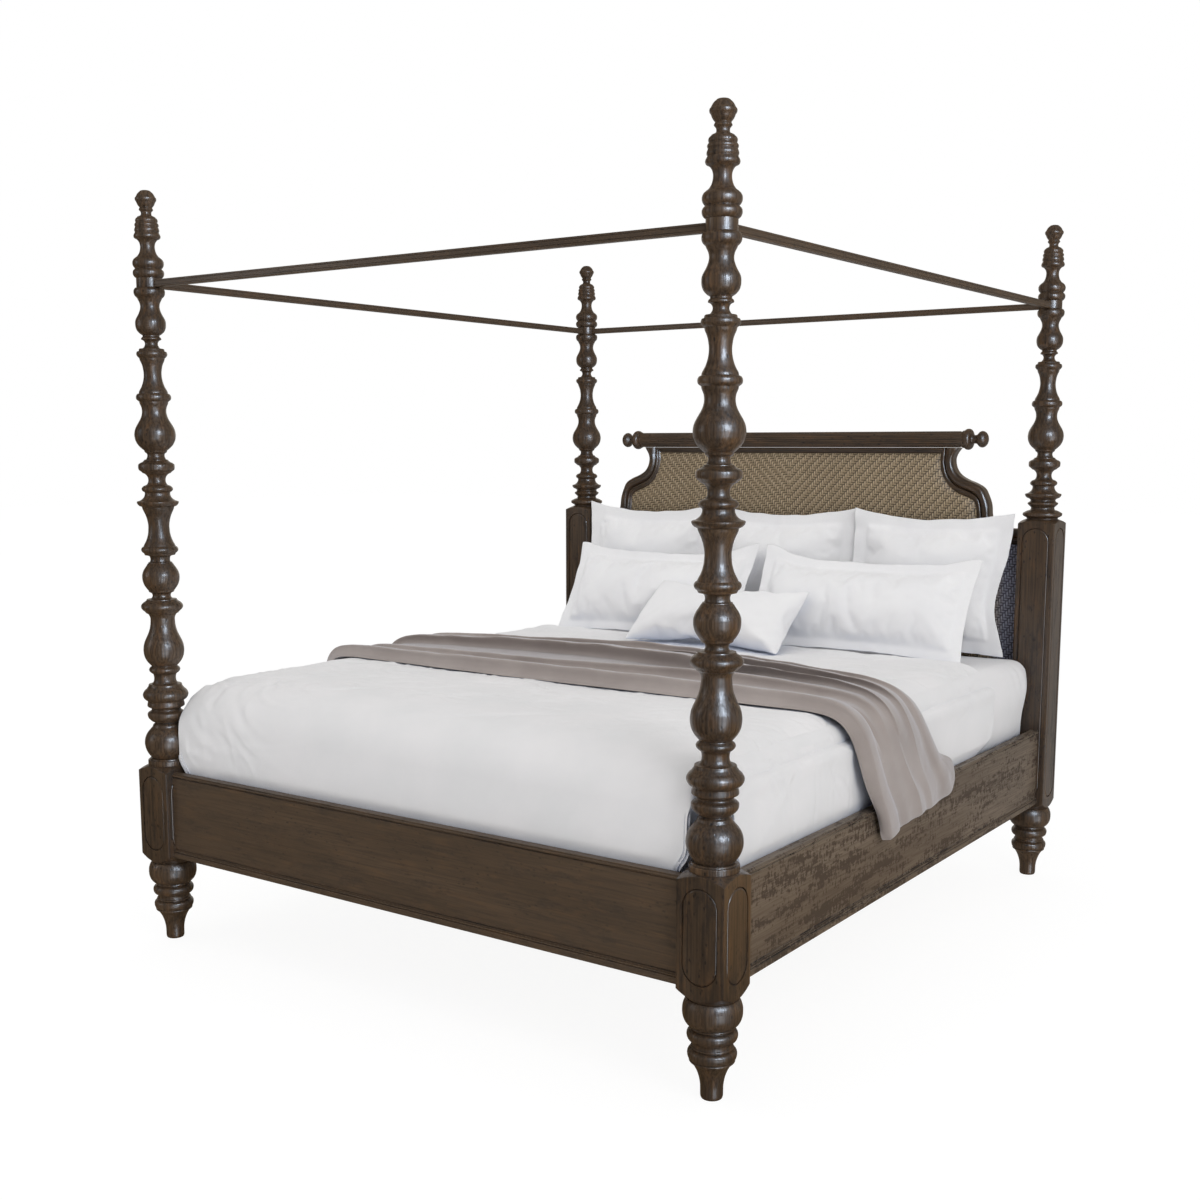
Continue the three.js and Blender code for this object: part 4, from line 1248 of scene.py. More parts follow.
def screw_heads(name, spots, outward, radius):
    """Domed heads with a hexagon socket, facing outward from each spot."""
    outward = np.array(outward, float)
    side = np.cross(outward, [0, 0, 1.0] if abs(outward[2]) < 0.5 else [1.0, 0, 0])
    side /= np.linalg.norm(side)
    other = np.cross(outward, side)
    angle = circle_angles(SCREW_SEGMENTS)
    ring = np.cos(angle)[:, None] * side + np.sin(angle)[:, None] * other
    hexagon = (0.87 / np.cos(angle % (math.pi / 3) - math.pi / 6))[:, None]
    rings = [outward * height + ring * (share * radius) * (hexagon if share < 0.5 else 1)
             for share, height in SCREW_HEAD]
    head = np.vstack(rings + [outward * SOCKET_FLOOR])
    count = len(SCREW_HEAD)
    middle = count * SCREW_SEGMENTS
    last = middle - SCREW_SEGMENTS
    faces = grid_faces(count, SCREW_SEGMENTS, wrap=True)
    faces += [[middle, last + (i + 1) % SCREW_SEGMENTS, last + i]
              for i in range(SCREW_SEGMENTS)]
    faces.append(list(range(SCREW_SEGMENTS))[::-1])
    verts, faces = join_parts([(np.array(spot) + head, faces) for spot in spots])
    make(name, verts, outward_faces(verts, faces), STEEL, body="bedstead",
         sharp_angle=35)


BOLT_HEIGHTS = (375, 408, 440)
for end, ey in ENDS.items():
    for side, sx in SIDES.items():
        lo, hi = box_mm(f"rail_bracket_{end}_{side}")
        inner_x, rail_x = (lo[0], hi[0]) if sx > 0 else (hi[0], lo[0])
        block_y = hi[1] if ey > 0 else lo[1]
        name = f"bracket_bolts_{end}_{side}"
        on_block = [(inner_x + sx * 22, block_y - ey * 3.05, z) for z in BOLT_HEIGHTS]
        on_rail = [(rail_x - sx * 3.05, block_y - ey * 45, z) for z in BOLT_HEIGHTS]
        screw_heads(name + "_a", on_block, outward=(0, -ey, 0), radius=7)
        screw_heads(name + "_b", on_rail, outward=(-sx, 0, 0), radius=7)
for i in range(1, 6):
    lo, hi = box_mm(f"slat_{i}")
    mid_y = (lo[1] + hi[1]) / 2
    spots = [(sx * 968, mid_y + offset, hi[2] - 0.9) for sx in (-1, 1) for offset in (-22, 22)]
    screw_heads(f"slat_screws_{i}", spots, outward=(0, 0, 1), radius=4.5)


# =============================================================================
# Bedding: shared
# =============================================================================
def creases(x, y, count, seed, area, length, width, height, spread, lean=None):
    """Soft pinched folds: curved lines with a narrow ridge that fades at both ends.

    area: (x0, x1, y0, y1) of their middles; lean: their common angle; spread: scatter about it.
    """
    rng = seeded(seed)
    total = np.zeros_like(x)
    for _ in range(count):
        mid_x, mid_y = rng.uniform(area[0], area[1]), rng.uniform(area[2], area[3])
        angle = lean if lean is not None else rng.uniform(0, math.pi)
        angle += rng.normal() * spread
        reach = length * rng.uniform(0.4, 1.5)
        wide = width * rng.uniform(0.6, 1.6)
        curl = rng.normal() * 0.35 / reach
        rise = height * rng.uniform(0.3, 1.0) * (1 if rng.rand() < 0.7 else -1)
        dx, dy = x - mid_x, y - mid_y
        along = dx * math.cos(angle) + dy * math.sin(angle)
        across = -dx * math.sin(angle) + dy * math.cos(angle) + curl * along * along
        total += rise * bell(along, reach) * (bell(across, wide)
                                              - 0.45 * bell(across - 1.6 * wide, 1.5 * wide))
    return total


(_, DUVET_FOOT, DUVET_LOW), (DUVET_SIDE, DUVET_HEM, DUVET_TOP) = box_mm("duvet")
(_, MATTRESS_FOOT, MATTRESS_LOW), (MATTRESS_SIDE, MATTRESS_HEAD, SHEET_TOP) = box_mm("mattress")


def roll_off(past, radius):
    """Sideways move, drop and angle of cloth at arc length past the start of a bend."""
    angle = np.clip(past / radius, 0, math.pi / 2)
    drop = radius * (1 - np.cos(angle)) + np.maximum(past - radius * math.pi / 2, 0)
    return radius * np.sin(angle), drop, angle


# =============================================================================
# Duvet
# =============================================================================
def post_envelope():
    """Heights and radii of a smooth line over the foot post's beads, which cloth bridges."""
    rings = []
    for name in ("post_lower_foot_left", "post_upper_foot_left"):
        mesh = frame["nodes"][name].data
        co = np.zeros(len(mesh.vertices) * 3, np.float32)
        mesh.vertices.foreach_get("co", co)
        co = co.reshape(-1, 3) * 1000
        rings.append(points(co[:, 2], np.hypot(co[:, 0] + POST_X, co[:, 1] + POST_Y)))
    rings = np.vstack(rings)
    heights = np.arange(560.0, 900.0, 4.0)
    widest = []
    for height in heights:
        near = rings[np.abs(rings[:, 0] - height) < 16]
        widest.append(near[:, 1].max() if len(near) else 66.0)
    z = np.arange(480.0, 900.0, 2.0)
    radius = np.interp(z, heights, np.array(widest, float))
    wide = np.array([radius[max(0, i - 12):i + 13].max() for i in range(len(radius))])
    wide = np.maximum(blurred(wide, 21), radius)
    # below the rail's top it swells over the square block
    return z, wide + (97 - np.minimum(wide, 97)) * ease(572, 542, z)


def blurred(values, width):
    """Running average over an odd number of values, the ends held."""
    kernel = np.hanning(width)
    kernel /= kernel.sum()
    half = width // 2
    held = np.concatenate([np.full(half, values[0]), values, np.full(half, values[-1])])
    return np.convolve(held, kernel, "valid")


ENVELOPE = post_envelope()


def clear_post(verts, sx, turn, first):
    """Moves cloth out of a foot post, in place, and tells which points it moved.

    turn runs from -1 on the foot drop to 1 on the side drop; on the first pass it places the
    points that lie beyond the post round its inward quarter.
    """
    post_x = sx * POST_X
    inward_x = (post_x - verts[..., 0]) * sx
    inward_y = verts[..., 1] + POST_Y
    distance = np.hypot(inward_x, inward_y)
    limit = np.interp(verts[..., 2], *ENVELOPE) + 2.5
    angle = np.arctan2(inward_y, inward_x)
    beyond = (angle < -0.35) | (angle > math.pi / 2 + 0.35)
    lost = beyond & first & (distance < limit * 1.6)
    start = np.arcsin(np.clip((POST_Y + DUVET_FOOT) / limit, -0.3, 0.9))
    end = math.pi / 2 - np.arcsin(np.clip((POST_X - DUVET_SIDE) / limit, -0.3, 0.9))
    angle = np.where(lost, (start + end) / 2 + turn * (end - start) / 2, angle)
    hit = lost | (distance < limit)
    distance = np.where(hit, limit, distance)
    hit = hit & (verts[..., 0] * sx > 0)
    verts[..., 0] = np.where(hit, post_x - sx * distance * np.cos(angle), verts[..., 0])
    verts[..., 1] = np.where(hit, -POST_Y + distance * np.sin(angle), verts[..., 1])
    return hit


def lie_round_post(verts, sx, turn):
    """Pushes the cloth off one foot post, then relaxes it around the place."""
    near = clear_post(verts, sx, turn, True).astype(float)
    total = near.copy()
    for _ in range(13):
        grown = near.copy()
        grown[1:] = np.maximum(grown[1:], near[:-1])
        grown[:-1] = np.maximum(grown[:-1], near[1:])
        grown[:, 1:] = np.maximum(grown[:, 1:], near[:, :-1])
        grown[:, :-1] = np.maximum(grown[:, :-1], near[:, 1:])
        near = grown
        total += near
    near = ease(0.0, 0.62, total / 14)
    near[0] = near[-1] = 0
    near[:, 0] = near[:, -1] = 0
    weight = near[..., None] * 0.5
    for step in range(56):
        average = verts.copy()
        average[1:-1, 1:-1] = (verts[2:, 1:-1] + verts[:-2, 1:-1]
                               + verts[1:-1, 2:] + verts[1:-1, :-2]) / 4
        verts += (average - verts) * weight
        if step < 47:
            clear_post(verts, sx, turn, False)


def duvet_sheet():
    bend = 118.0
    wall_height = DUVET_TOP - DUVET_LOW - bend
    beyond = bend * math.pi / 2 + wall_height
    bend_x, bend_y = DUVET_SIDE - bend, -DUVET_FOOT - bend  # where the bends start
    step = 6.5
    count_x = int(2 * (bend_x + beyond) / step)
    count_y = int((bend_y + DUVET_HEM + beyond) / step)
    # the cloth laid flat: flat_y below -bend_y turns down over the foot
    flat_x, flat_y = np.meshgrid(np.linspace(-(bend_x + beyond), bend_x + beyond, count_x),
                                 np.linspace(-(bend_y + beyond), DUVET_HEM, count_y),
                                 indexing="ij")
    past_x = np.maximum(np.abs(flat_x) - bend_x, 0)
    past_y = np.maximum(-flat_y - bend_y, 0)
    past = np.maximum(past_x, past_y)
    # the lower edge lifts and rounds off near the hem
    lift = np.clip((flat_y - (DUVET_HEM - 150)) / 150, 0, 1)
    reach = (beyond - 88 * (1 - np.sqrt(np.maximum(1 - lift ** 2, 0)))
             - 62 * ease(DUVET_HEM - 420, DUVET_HEM - 60, flat_y))
    past = past * reach / beyond
    blend = np.maximum((past_x ** 6 + past_y ** 6) ** (1 / 6), 1e-6)
    share_x, share_y = past_x / blend, past_y / blend
    side, drop, angle = roll_off(past, bend)
    x = np.sign(flat_x) * (np.minimum(np.abs(flat_x), bend_x) + share_x * side)
    y = np.where(flat_y < -bend_y, -bend_y, flat_y) - share_y * side
    z = DUVET_TOP - drop
    # the top sinks towards the foot and towards the +x side
    z -= 20 * ease(-870, -1090, flat_y) ** 1.3 * np.exp(-drop / 200)
    z -= 10 * ease(820, 985, flat_x if False else np.abs(flat_x)) * np.exp(-drop / 150)
    # direction out of the surface
    out_x = np.sign(flat_x) * share_x * np.sin(angle)
    out_y = -share_y * np.sin(angle)
    out_z = np.cos(angle)
    level = out_z ** 2
    wall = 1 - level
    # puffiness and wrinkles
    field = (-1000, 1000, -960, DUVET_HEM)
    puff = 4.0 * noise(flat_x / 330, flat_y / 300, 3) + 2.6 * noise(flat_x / 120, flat_y / 150, 4)
    puff += creases(flat_x, flat_y, 150, seed=11, area=field,
                    length=130, width=9.0, height=5.4, lean=0.12, spread=0.4)
    puff += creases(flat_x, flat_y, 220, seed=12, area=field,
                    length=60, width=7.0, height=3.6, spread=1.0)
    puff += creases(flat_x, flat_y, 40, seed=13, area=(-1080, -600, -1300, -900),
                    length=140, width=13, height=6.0, lean=-0.9, spread=0.35)
    puff += creases(flat_x, flat_y, 26, seed=14, area=(940, 1250, -900, -400),
                    length=120, width=11, height=4.5, lean=0.5, spread=0.7)
    puff += 1.0 * noise(flat_x / 46, flat_y / 34, 5) * (0.4 + level)
    # long soft falls down the foot and the sides
    across = np.where(past_y > past_x, flat_x, flat_y)
    to_left = ease(-300, -1000, flat_x)
    fall = (noise(across / 120 + past / 300, past / 300, 8) * 3.0
            + noise(across / 34 + past / 60, past / 200, 9) * (0.7 + 2.4 * to_left))
    puff = puff * (1 - 0.35 * wall) + fall * wall * ease(0, 140, past)
    # belly just over the rail
    puff += 4.0 * bell(z - 625, 70) * wall
    # seam line along each side, the panel below it puffed, and one upright seam
    on_side = past_x > past_y
    puff += (7.0 * bell(drop - 88, 20) - 9.0 * bell(drop - 62, 7.5)) * on_side
    puff -= 3.0 * bell(flat_y + 615, 6.0) * (drop > 62) * on_side
    # tucked in behind the rail below its top
    tuck = ease(566, 536, z)
    puff = puff * (1 - tuck) - 3.5 * tuck
    x += out_x * puff
    y += out_y * puff
    z += out_z * puff
    # the folded hem: a soft roll whose lip comes down to the sheet
    hem = np.clip((flat_y - (DUVET_HEM - 26)) / 26, 0, 1)
    lip = 1 - np.sqrt(np.maximum(1 - hem ** 2, 0))
    swell = bell(flat_y - (DUVET_HEM - 34), 18)
    z += out_z * (swell * 4.0 - lip * (DUVET_TOP - SHEET_TOP - 3))
    x += out_x * (swell * 2.0 - lip * 9)
    wave = 5 * noise(flat_x / 90, 3.3, 21) + 2.5 * noise(flat_x / 30, 1.3, 22)
    y += wave * ease(DUVET_HEM - 160, DUVET_HEM, flat_y)
    verts = points(x, y, z)
    for sx in (-1, 1):
        lie_round_post(verts, sx, share_x ** 2 - share_y ** 2)
    x, y, z = verts[..., 0], verts[..., 1], verts[..., 2]
    x = np.where(z < 540, np.clip(x, -(POST_X + 8.5), POST_X + 8.5), x)
    y = np.where(z < 540, np.maximum(y, -(POST_Y + 8.5)), y)
    ob = make("duvet_cover", points(x, y, z), grid_faces(count_x, count_y), DUVET,
              "duvet", body="bedstead", uv=points(flat_x, flat_y))
    thickness = ob.modifiers.new("thickness", "SOLIDIFY")
    thickness.thickness = 0.0085
    thickness.offset = -1
    thickness.use_even_offset = False
    bake(ob)


duvet_sheet()


# =============================================================================
# Mattress in its fitted sheet
# =============================================================================
PILLOW_MARKS = ((-607, 250), (0, 250), (607, 250))  # (x, half width)


def fitted_mattress():
    bend = 46.0
    wall_height = SHEET_TOP - MATTRESS_LOW - bend
    beyond = bend * math.pi / 2 + wall_height
    step = 11.0
    mid_y = (MATTRESS_FOOT + MATTRESS_HEAD) / 2
    bend_x = MATTRESS_SIDE - bend
    bend_y = (MATTRESS_HEAD - MATTRESS_FOOT) / 2 - bend
    count_x, count_y = (int(2 * (half + beyond) / step) for half in (bend_x, bend_y))
    flat_x, flat_y = np.meshgrid(
        np.linspace(-(bend_x + beyond), bend_x + beyond, count_x),
        np.linspace(-(bend_y + beyond), bend_y + beyond, count_y), indexing="ij")
    past_x = np.maximum(np.abs(flat_x) - bend_x, 0)
    past_y = np.maximum(np.abs(flat_y) - bend_y, 0)
    past = np.maximum(past_x, past_y)
    blend = np.maximum(np.hypot(past_x, past_y), 1e-6)
    share_x, share_y = past_x / blend, past_y / blend
    side, drop, angle = roll_off(past, bend)
    x = np.sign(flat_x) * (np.minimum(np.abs(flat_x), bend_x) + share_x * side)
    y = mid_y + np.sign(flat_y) * (np.minimum(np.abs(flat_y), bend_y) + share_y * side)
    z = SHEET_TOP - drop
    out_x = np.sign(flat_x) * share_x * np.sin(angle)
    out_y = np.sign(flat_y) * share_y * np.sin(angle)
    out_z = np.cos(angle)
    wall = 1 - out_z ** 2
    # the uncovered head end fills out over the rails
    puff = 16 * ease(620, 690, y) * (share_x > 0) * bell(z - 690, 75) * wall
    across = np.where(past_y > past_x, flat_x, flat_y)
    puff += wall * noise(across / 75 + past / 300, past / 300, 31) * 3.0
    wrinkles = creases(flat_x, flat_y, 70, seed=33, area=(-960, 960, 660 - mid_y, 1010 - mid_y),
                       length=70, width=6, height=1.6, spread=1.0)
    puff += (1 - wall) * (2.4 * noise(flat_x / 190, flat_y / 190, 32)
                          + wrinkles * ease(600, 680, y))
    # gathers at the corners
    corner = bell(np.abs(flat_x) - bend_x, 150) * bell(np.abs(flat_y) - bend_y, 150)
    puff += corner * 2.6 * np.sin((across - past * 0.4) / 9.0) * wall
    # kept slim behind the rails and under the duvet
    puff = np.where(z < 548, np.minimum(puff, 2), puff)
    puff = np.where(y < 640, np.minimum(puff, 1.5), puff)
    x, y, z = x + out_x * puff, y + out_y * puff, z + out_z * puff
    for mark_x, width in PILLOW_MARKS:
        z -= 3.5 * bell(x - mark_x, width, 4) * bell(y - 985, 45) * (1 - wall)
    # underside: one flat polygon round the lower edge
    faces = grid_faces(count_x, count_y)
    last = (count_x - 1) * count_y
    ring = [i * count_y for i in range(count_x)]
    ring += [last + j for j in range(1, count_y)]
    ring += [i * count_y + count_y - 1 for i in range(count_x - 2, -1, -1)]
    ring += list(range(count_y - 2, 0, -1))
    faces.append(ring[::-1])
    make("mattress_fitted_sheet", points(x, y, z), faces, SHEET, "mattress",
         uv=points(flat_x, flat_y))


fitted_mattress()


# =============================================================================
# Throw: laid across the foot half of the bed and hanging over both rails
# =============================================================================
# (x, z) of its underside, from the middle of the bed out and down over the rail
THROW_PATH = [
    (0, DUVET_TOP + 3), (820, DUVET_TOP + 3), (880, DUVET_TOP + 1), (930, DUVET_TOP - 6),
    (966, DUVET_TOP - 24), (990, DUVET_TOP - 56), (1003, DUVET_TOP - 100), (1011, 660),
    (1020, 590), (1027, 545), (1029, 520), (1029, 462)]
# y of the two long edges at the stations in throw(), from the -x hem to the +x hem
FOOT_EDGE = [-330, -345, -395, -412, -425, -438, -452, -452, -450, -448, -442, -436, -420,
             -365, -292]
HEAD_EDGE = [170, 168, 130, 115, 122, 200, 284, 232, 166, 86, 25, 0, 40, 130, 236]
# long folds: (distance from the foot edge at the fold stations in throw(), height there,
# width towards the foot, width towards the head, how far the fold leans to the foot)
FOLDS = [
    ([28, 30, 38, 42, 44, 46, 46, 44, 42, 40, 40],
     [16, 18, 30, 35, 38, 38, 38, 35, 28, 24, 22], 24, 58, 0.55),
    ([165, 170, 186, 206, 222, 250, 272, 226, 182, 182, 180],
     [7, 9, 17, 21, 24, 30, 32, 27, 18, 8, 6], 19, 52, 0.6),
    ([300, 310, 362, 440, 486, 440, 340, 278, 238, 248, 246],
     [10, 12, 30, 42, 46, 48, 44, 36, 24, 19, 17], 19, 70, 0.8),
    ([400, 410, 450, 520, 590, 560, 480, 384, 312, 330, 330],
     [7, 8, 14, 14, 14, 34, 40, 34, 21, 9, 8], 17, 54, 0.7),
    ([470, 480, 500, 590, 690, 660, 570, 440, 390, 440, 450],
     [8, 9, 15, 24, 30, 27, 24, 24, 19, 16, 14], 17, 38, 0.5)]
# grooves down the hanging ends: (share of the width, height, half width as a share)
HANGING_FOLDS = [(0.25, -9, 0.05), (0.50, -7, 0.045), (0.80, -8, 0.05)]


def quarter_round(distance, radius):
    """Rises from 0 at an edge to 1 at radius from it, like a rolled edge."""
    t = np.clip(distance / radius, 0, 1)
    return np.sqrt(np.maximum(1 - (1 - t) ** 2, 0))


def corner_cut(distance, radius):
    """How far a rounded corner draws the hem back at a distance from the side edge."""
    return radius - np.sqrt(np.maximum(radius * radius - np.maximum(radius - distance, 0) ** 2, 0))


def throw():
    path = curve(THROW_PATH, 400)
    length = arc_lengths(path)
    reach = length[-1]
    # u: distance along the throw from the middle of the bed, + towards +x
    u = np.linspace(-reach, reach, 560)
    path_x = np.interp(np.abs(u), length, path[:, 0]) * np.sign(u)
    path_z = np.interp(np.abs(u), length, path[:, 1])
    out_z = np.interp(np.abs(u), length, np.gradient(path[:, 0], length))
    out_x = -np.interp(np.abs(u), length, np.gradient(path[:, 1], length)) * np.sign(u)
    size = np.hypot(out_x, out_z)
    out_x, out_z = out_x / size, out_z / size

    def along(stations, values):
        return blurred(np.interp(u, stations, values), 41)

    edge_at = [-reach, -reach + 120, -1130, -1000, -900, -600, -155, 300, 536, 760, 900, 985,
               1060, 1180, reach]
    fold_at = [-reach, -1100, -900, -500, -150, 200, 536, 800, 985, 1200, reach]
    foot_y = along(edge_at, FOOT_EDGE) + 5 * noise(u / 140, 0.4, 41)
    head_y = along(edge_at, HEAD_EDGE) + 9 * noise(u / 120, 2.4, 42)
    # stations across, closer together at the two long edges
    across = np.linspace(0, 1, 190)
    across = across + 0.5 * (((1 - np.cos(across * math.pi)) / 2) - across)
    u_grid, across = np.meshgrid(u, across, indexing="ij")
    size_u = np.abs(u_grid)
    width = (head_y - foot_y)[:, None]
    y = foot_y[:, None] + width * across
    from_foot = y - foot_y[:, None]
    from_head = head_y[:, None] - y
    hang = ease(930, 1080, size_u)
    height = 8.0 + 2.2 * noise(u_grid / 190, y / 120, 43)
    lean = np.zeros_like(u_grid)
    # folds are steep and undercut towards the foot and ease away behind
    for places, heights, front, back, tilt in FOLDS:
        place = along(fold_at, places)[:, None] + 6 * noise(u_grid / 210, places[0] / 50.0, 60)
        rise = (along(fold_at, heights)[:, None]
                * (1 + 0.16 * noise(u_grid / 150, places[1] / 40.0, 61)))
        offset = from_foot - place
        shape = np.where(offset < 0, bell(offset, front * (1 + 1.1 * hang), 2.4),
                         bell(offset, back * (1 + 0.25 * hang), 1.9))
        height += rise * shape
        lean -= tilt * rise * bell(offset, front * 1.15) * shape
    # creases that gather at the shoulders
    height -= (9 * bell(from_foot - 92 - (u_grid - 760) * 0.10, 9)
               * ease(560, 760, size_u) * ease(1120, 980, size_u))
    for k, (share, rise, spread) in enumerate(HANGING_FOLDS):
        bend = (share + 0.045 * np.sin(u_grid / 210 + k * 1.3) * hang
                + 0.02 * noise(u_grid / 160, k, 50 + k))
        height += rise * hang * bell(from_foot / width - bend, spread)
    height += 1.2 * noise(u_grid / 70, y / 50, 44) + 0.6 * noise(u_grid / 26, y / 22, 45)
    height = np.maximum(height, 4.5)
    lean = lean * np.clip((from_foot - 2) / 26, 0, 1)
    height = 1.0 + height * (quarter_round(from_foot, 20.0) * quarter_round(from_head, 16.0)
                             * quarter_round(reach - size_u, 14.0))
    # the hems are not quite level, and their corners are rounded
    hem = (22 * (1 - across) ** 3 - 16 * ease(0.05, 0.95, across)
           + 7 * noise(across * 5, 0.7, 47))
    corner = corner_cut(from_foot, 34.0) + corner_cut(from_head, 75.0)
    lift = (corner * ease(reach - 190, reach, size_u)
            - (hem - 4) * ease(1040, reach, size_u))

    def surface(above, lean_y):
        return points(path_x[:, None] + out_x[:, None] * above, y + lean_y,
                      path_z[:, None] + out_z[:, None] * above + lift)

    # loops over the top from foot to head, then back underneath
    loops = np.concatenate([surface(height, lean), surface(1.0, 0.0)[:, ::-1]], axis=1)
    uv = points(u_grid, y)
    make("throw_folded", loops, outward_faces(loops, tube_faces(*loops.shape[:2])), THROW,
         "throw_blanket", uv=np.concatenate([uv, uv[:, ::-1]], axis=1))


throw()


# =============================================================================
# Pillows
# =============================================================================
# Each is made flat: local x across, y up, z to its front. across and up run from -1 to 1
# over its width and height.
def pillow_grid(width, height, flange, depth, cells):
    """Two sheets joined at their rim: vertices, faces, UVs and which vertices hold filling."""
    def stations(half, count):
        inner = np.linspace(-(half - flange), half - flange, count)
        if flange <= 0:
            return inner
        strips = max(2, int(round(flange / 11)))
        outer = np.linspace(half - flange, half, strips + 1)[1:]
        return np.concatenate([-outer[::-1], inner, outer])

    x, y = np.meshgrid(stations(width / 2, cells[0]), stations(height / 2, cells[1]),
                       indexing="ij")
    half_x, half_y = width / 2 - flange, height / 2 - flange
    u, v = np.clip(np.abs(x) / half_x, 0, 1), np.clip(np.abs(y) / half_y, 0, 1)
    filled = (np.abs(x) < half_x - 1e-6) & (np.abs(y) < half_y - 1e-6)
    crown = np.maximum(1 - u ** 2.4, 0) ** 0.5 * np.maximum(1 - v ** 2.4, 0) ** 0.5
    free = np.zeros(x.shape, bool)
    free[1:-1, 1:-1] = True
    z = np.where(free, 0.9, 0.0) + crown * depth * 0.42
    back_index = np.arange(x.size).reshape(x.shape)
    back_index[free] = x.size + np.arange(free.sum())
    verts = np.vstack([points(x, y, z).reshape(-1, 3), points(x, y, -z)[free]])
    faces = grid_faces(*x.shape)
    faces = faces + back_index.reshape(-1)[np.array(faces)][:, ::-1].tolist()
    uv = points(x, y)
    uv = np.vstack([uv.reshape(-1, 2), uv[free] + [width, 0]])
    return verts, faces, uv, np.concatenate([filled.reshape(-1), filled[free]])


def inflate(name, verts, faces, filled, pinned):
    """Fills the case by cloth simulation: pressure inside the seam line only, no gravity."""
    frames = 18
    mesh = bpy.data.meshes.new(name)
    mesh.from_pydata((verts * MM).tolist(), [], faces)
    ob = link_object(name, mesh)
    group = ob.vertex_groups.new(name="inner")
    group.add(np.nonzero(~filled)[0].tolist(), 0.0, "REPLACE")
    group.add(np.nonzero(filled)[0].tolist(), 1.0, "REPLACE")
    if pinned is not None:
        group = ob.vertex_groups.new(name="hem")
        group.add(np.nonzero(pinned)[0].tolist(), 1.0, "REPLACE")
    cloth = ob.modifiers.new("cloth", "CLOTH")
    settings = cloth.settings
    settings.quality = 6
    settings.mass = 0.25
    settings.tension_stiffness = 22
    settings.compression_stiffness = 14
    settings.shear_stiffness = 9
    settings.bending_stiffness = 1.6
    if pinned is not None:
        settings.vertex_group_mass = "hem"
        settings.shrink_min = -0.05
    settings.use_pressure = True
    settings.uniform_pressure_force = 5.0
    settings.vertex_group_pressure = "inner"
    settings.effector_weights.gravity = 0
    settings.air_damping = 6
    settings.tension_damping = 12
    settings.compression_damping = 12
    settings.shear_damping = 10
    cloth.collision_settings.use_collision = False
    cloth.collision_settings.use_self_collision = False
    cloth.point_cache.frame_start = 1
    cloth.point_cache.frame_end = frames
    scene = bpy.context.scene
    for number in range(1, frames + 1):
        scene.frame_set(number)
    result = ob.evaluated_get(bpy.context.evaluated_depsgraph_get())
    out = np.zeros(len(verts) * 3, np.float32)
    result.data.vertices.foreach_get("co", out)
    out = out.reshape(-1, 3).astype(float) / MM
    scene.frame_set(1)
    bpy.data.objects.remove(ob)
    return out


def corner_creases(x, y, width, height, seed):
    """Five soft creases running in from each corner."""
    total = np.zeros(len(x))
    rng = seeded(seed)
    for corner_x, corner_y in ((-1, -1), (1, -1), (-1, 1), (1, 1)):
        for _ in range(5):
            angle = (math.atan2(-corner_y * height, -corner_x * width)
                     + rng.uniform(-0.55, 0.55))
            dx = x - corner_x * width / 2 * 0.9
            dy = y - corner_y * height / 2 * 0.88
            along = dx * math.cos(angle) + dy * math.sin(angle)
            across = (-dx * math.sin(angle) + dy * math.cos(angle)
                      + rng.normal() * 0.0006 * along ** 2)
            reach = rng.uniform(90, 190)
            wide = rng.uniform(7, 14)
            rise = rng.uniform(2.5, 6.0) * (1 if rng.rand() < 0.6 else -1)
            total += (rise * ease(0, 30, along) * bell(along, reach)
                      * bell(across, wide * (1 + along / 160)))
    return total


def rest_on_bed(verts):
    """Flattens, in place, what would sink into the duvet or the sheet."""
    floor = np.where(verts[:, 1] < DUVET_HEM, DUVET_TOP + 3.5, SHEET_TOP + 1.0) + 2
    sunk = np.maximum(floor - verts[:, 2], 0)
    verts[:, 1] -= np.clip(sunk * 0.25, 0, 14)
    verts[:, 2] = np.where(sunk > 0, floor + np.clip(sunk, 0, 60) * 0.03, verts[:, 2])


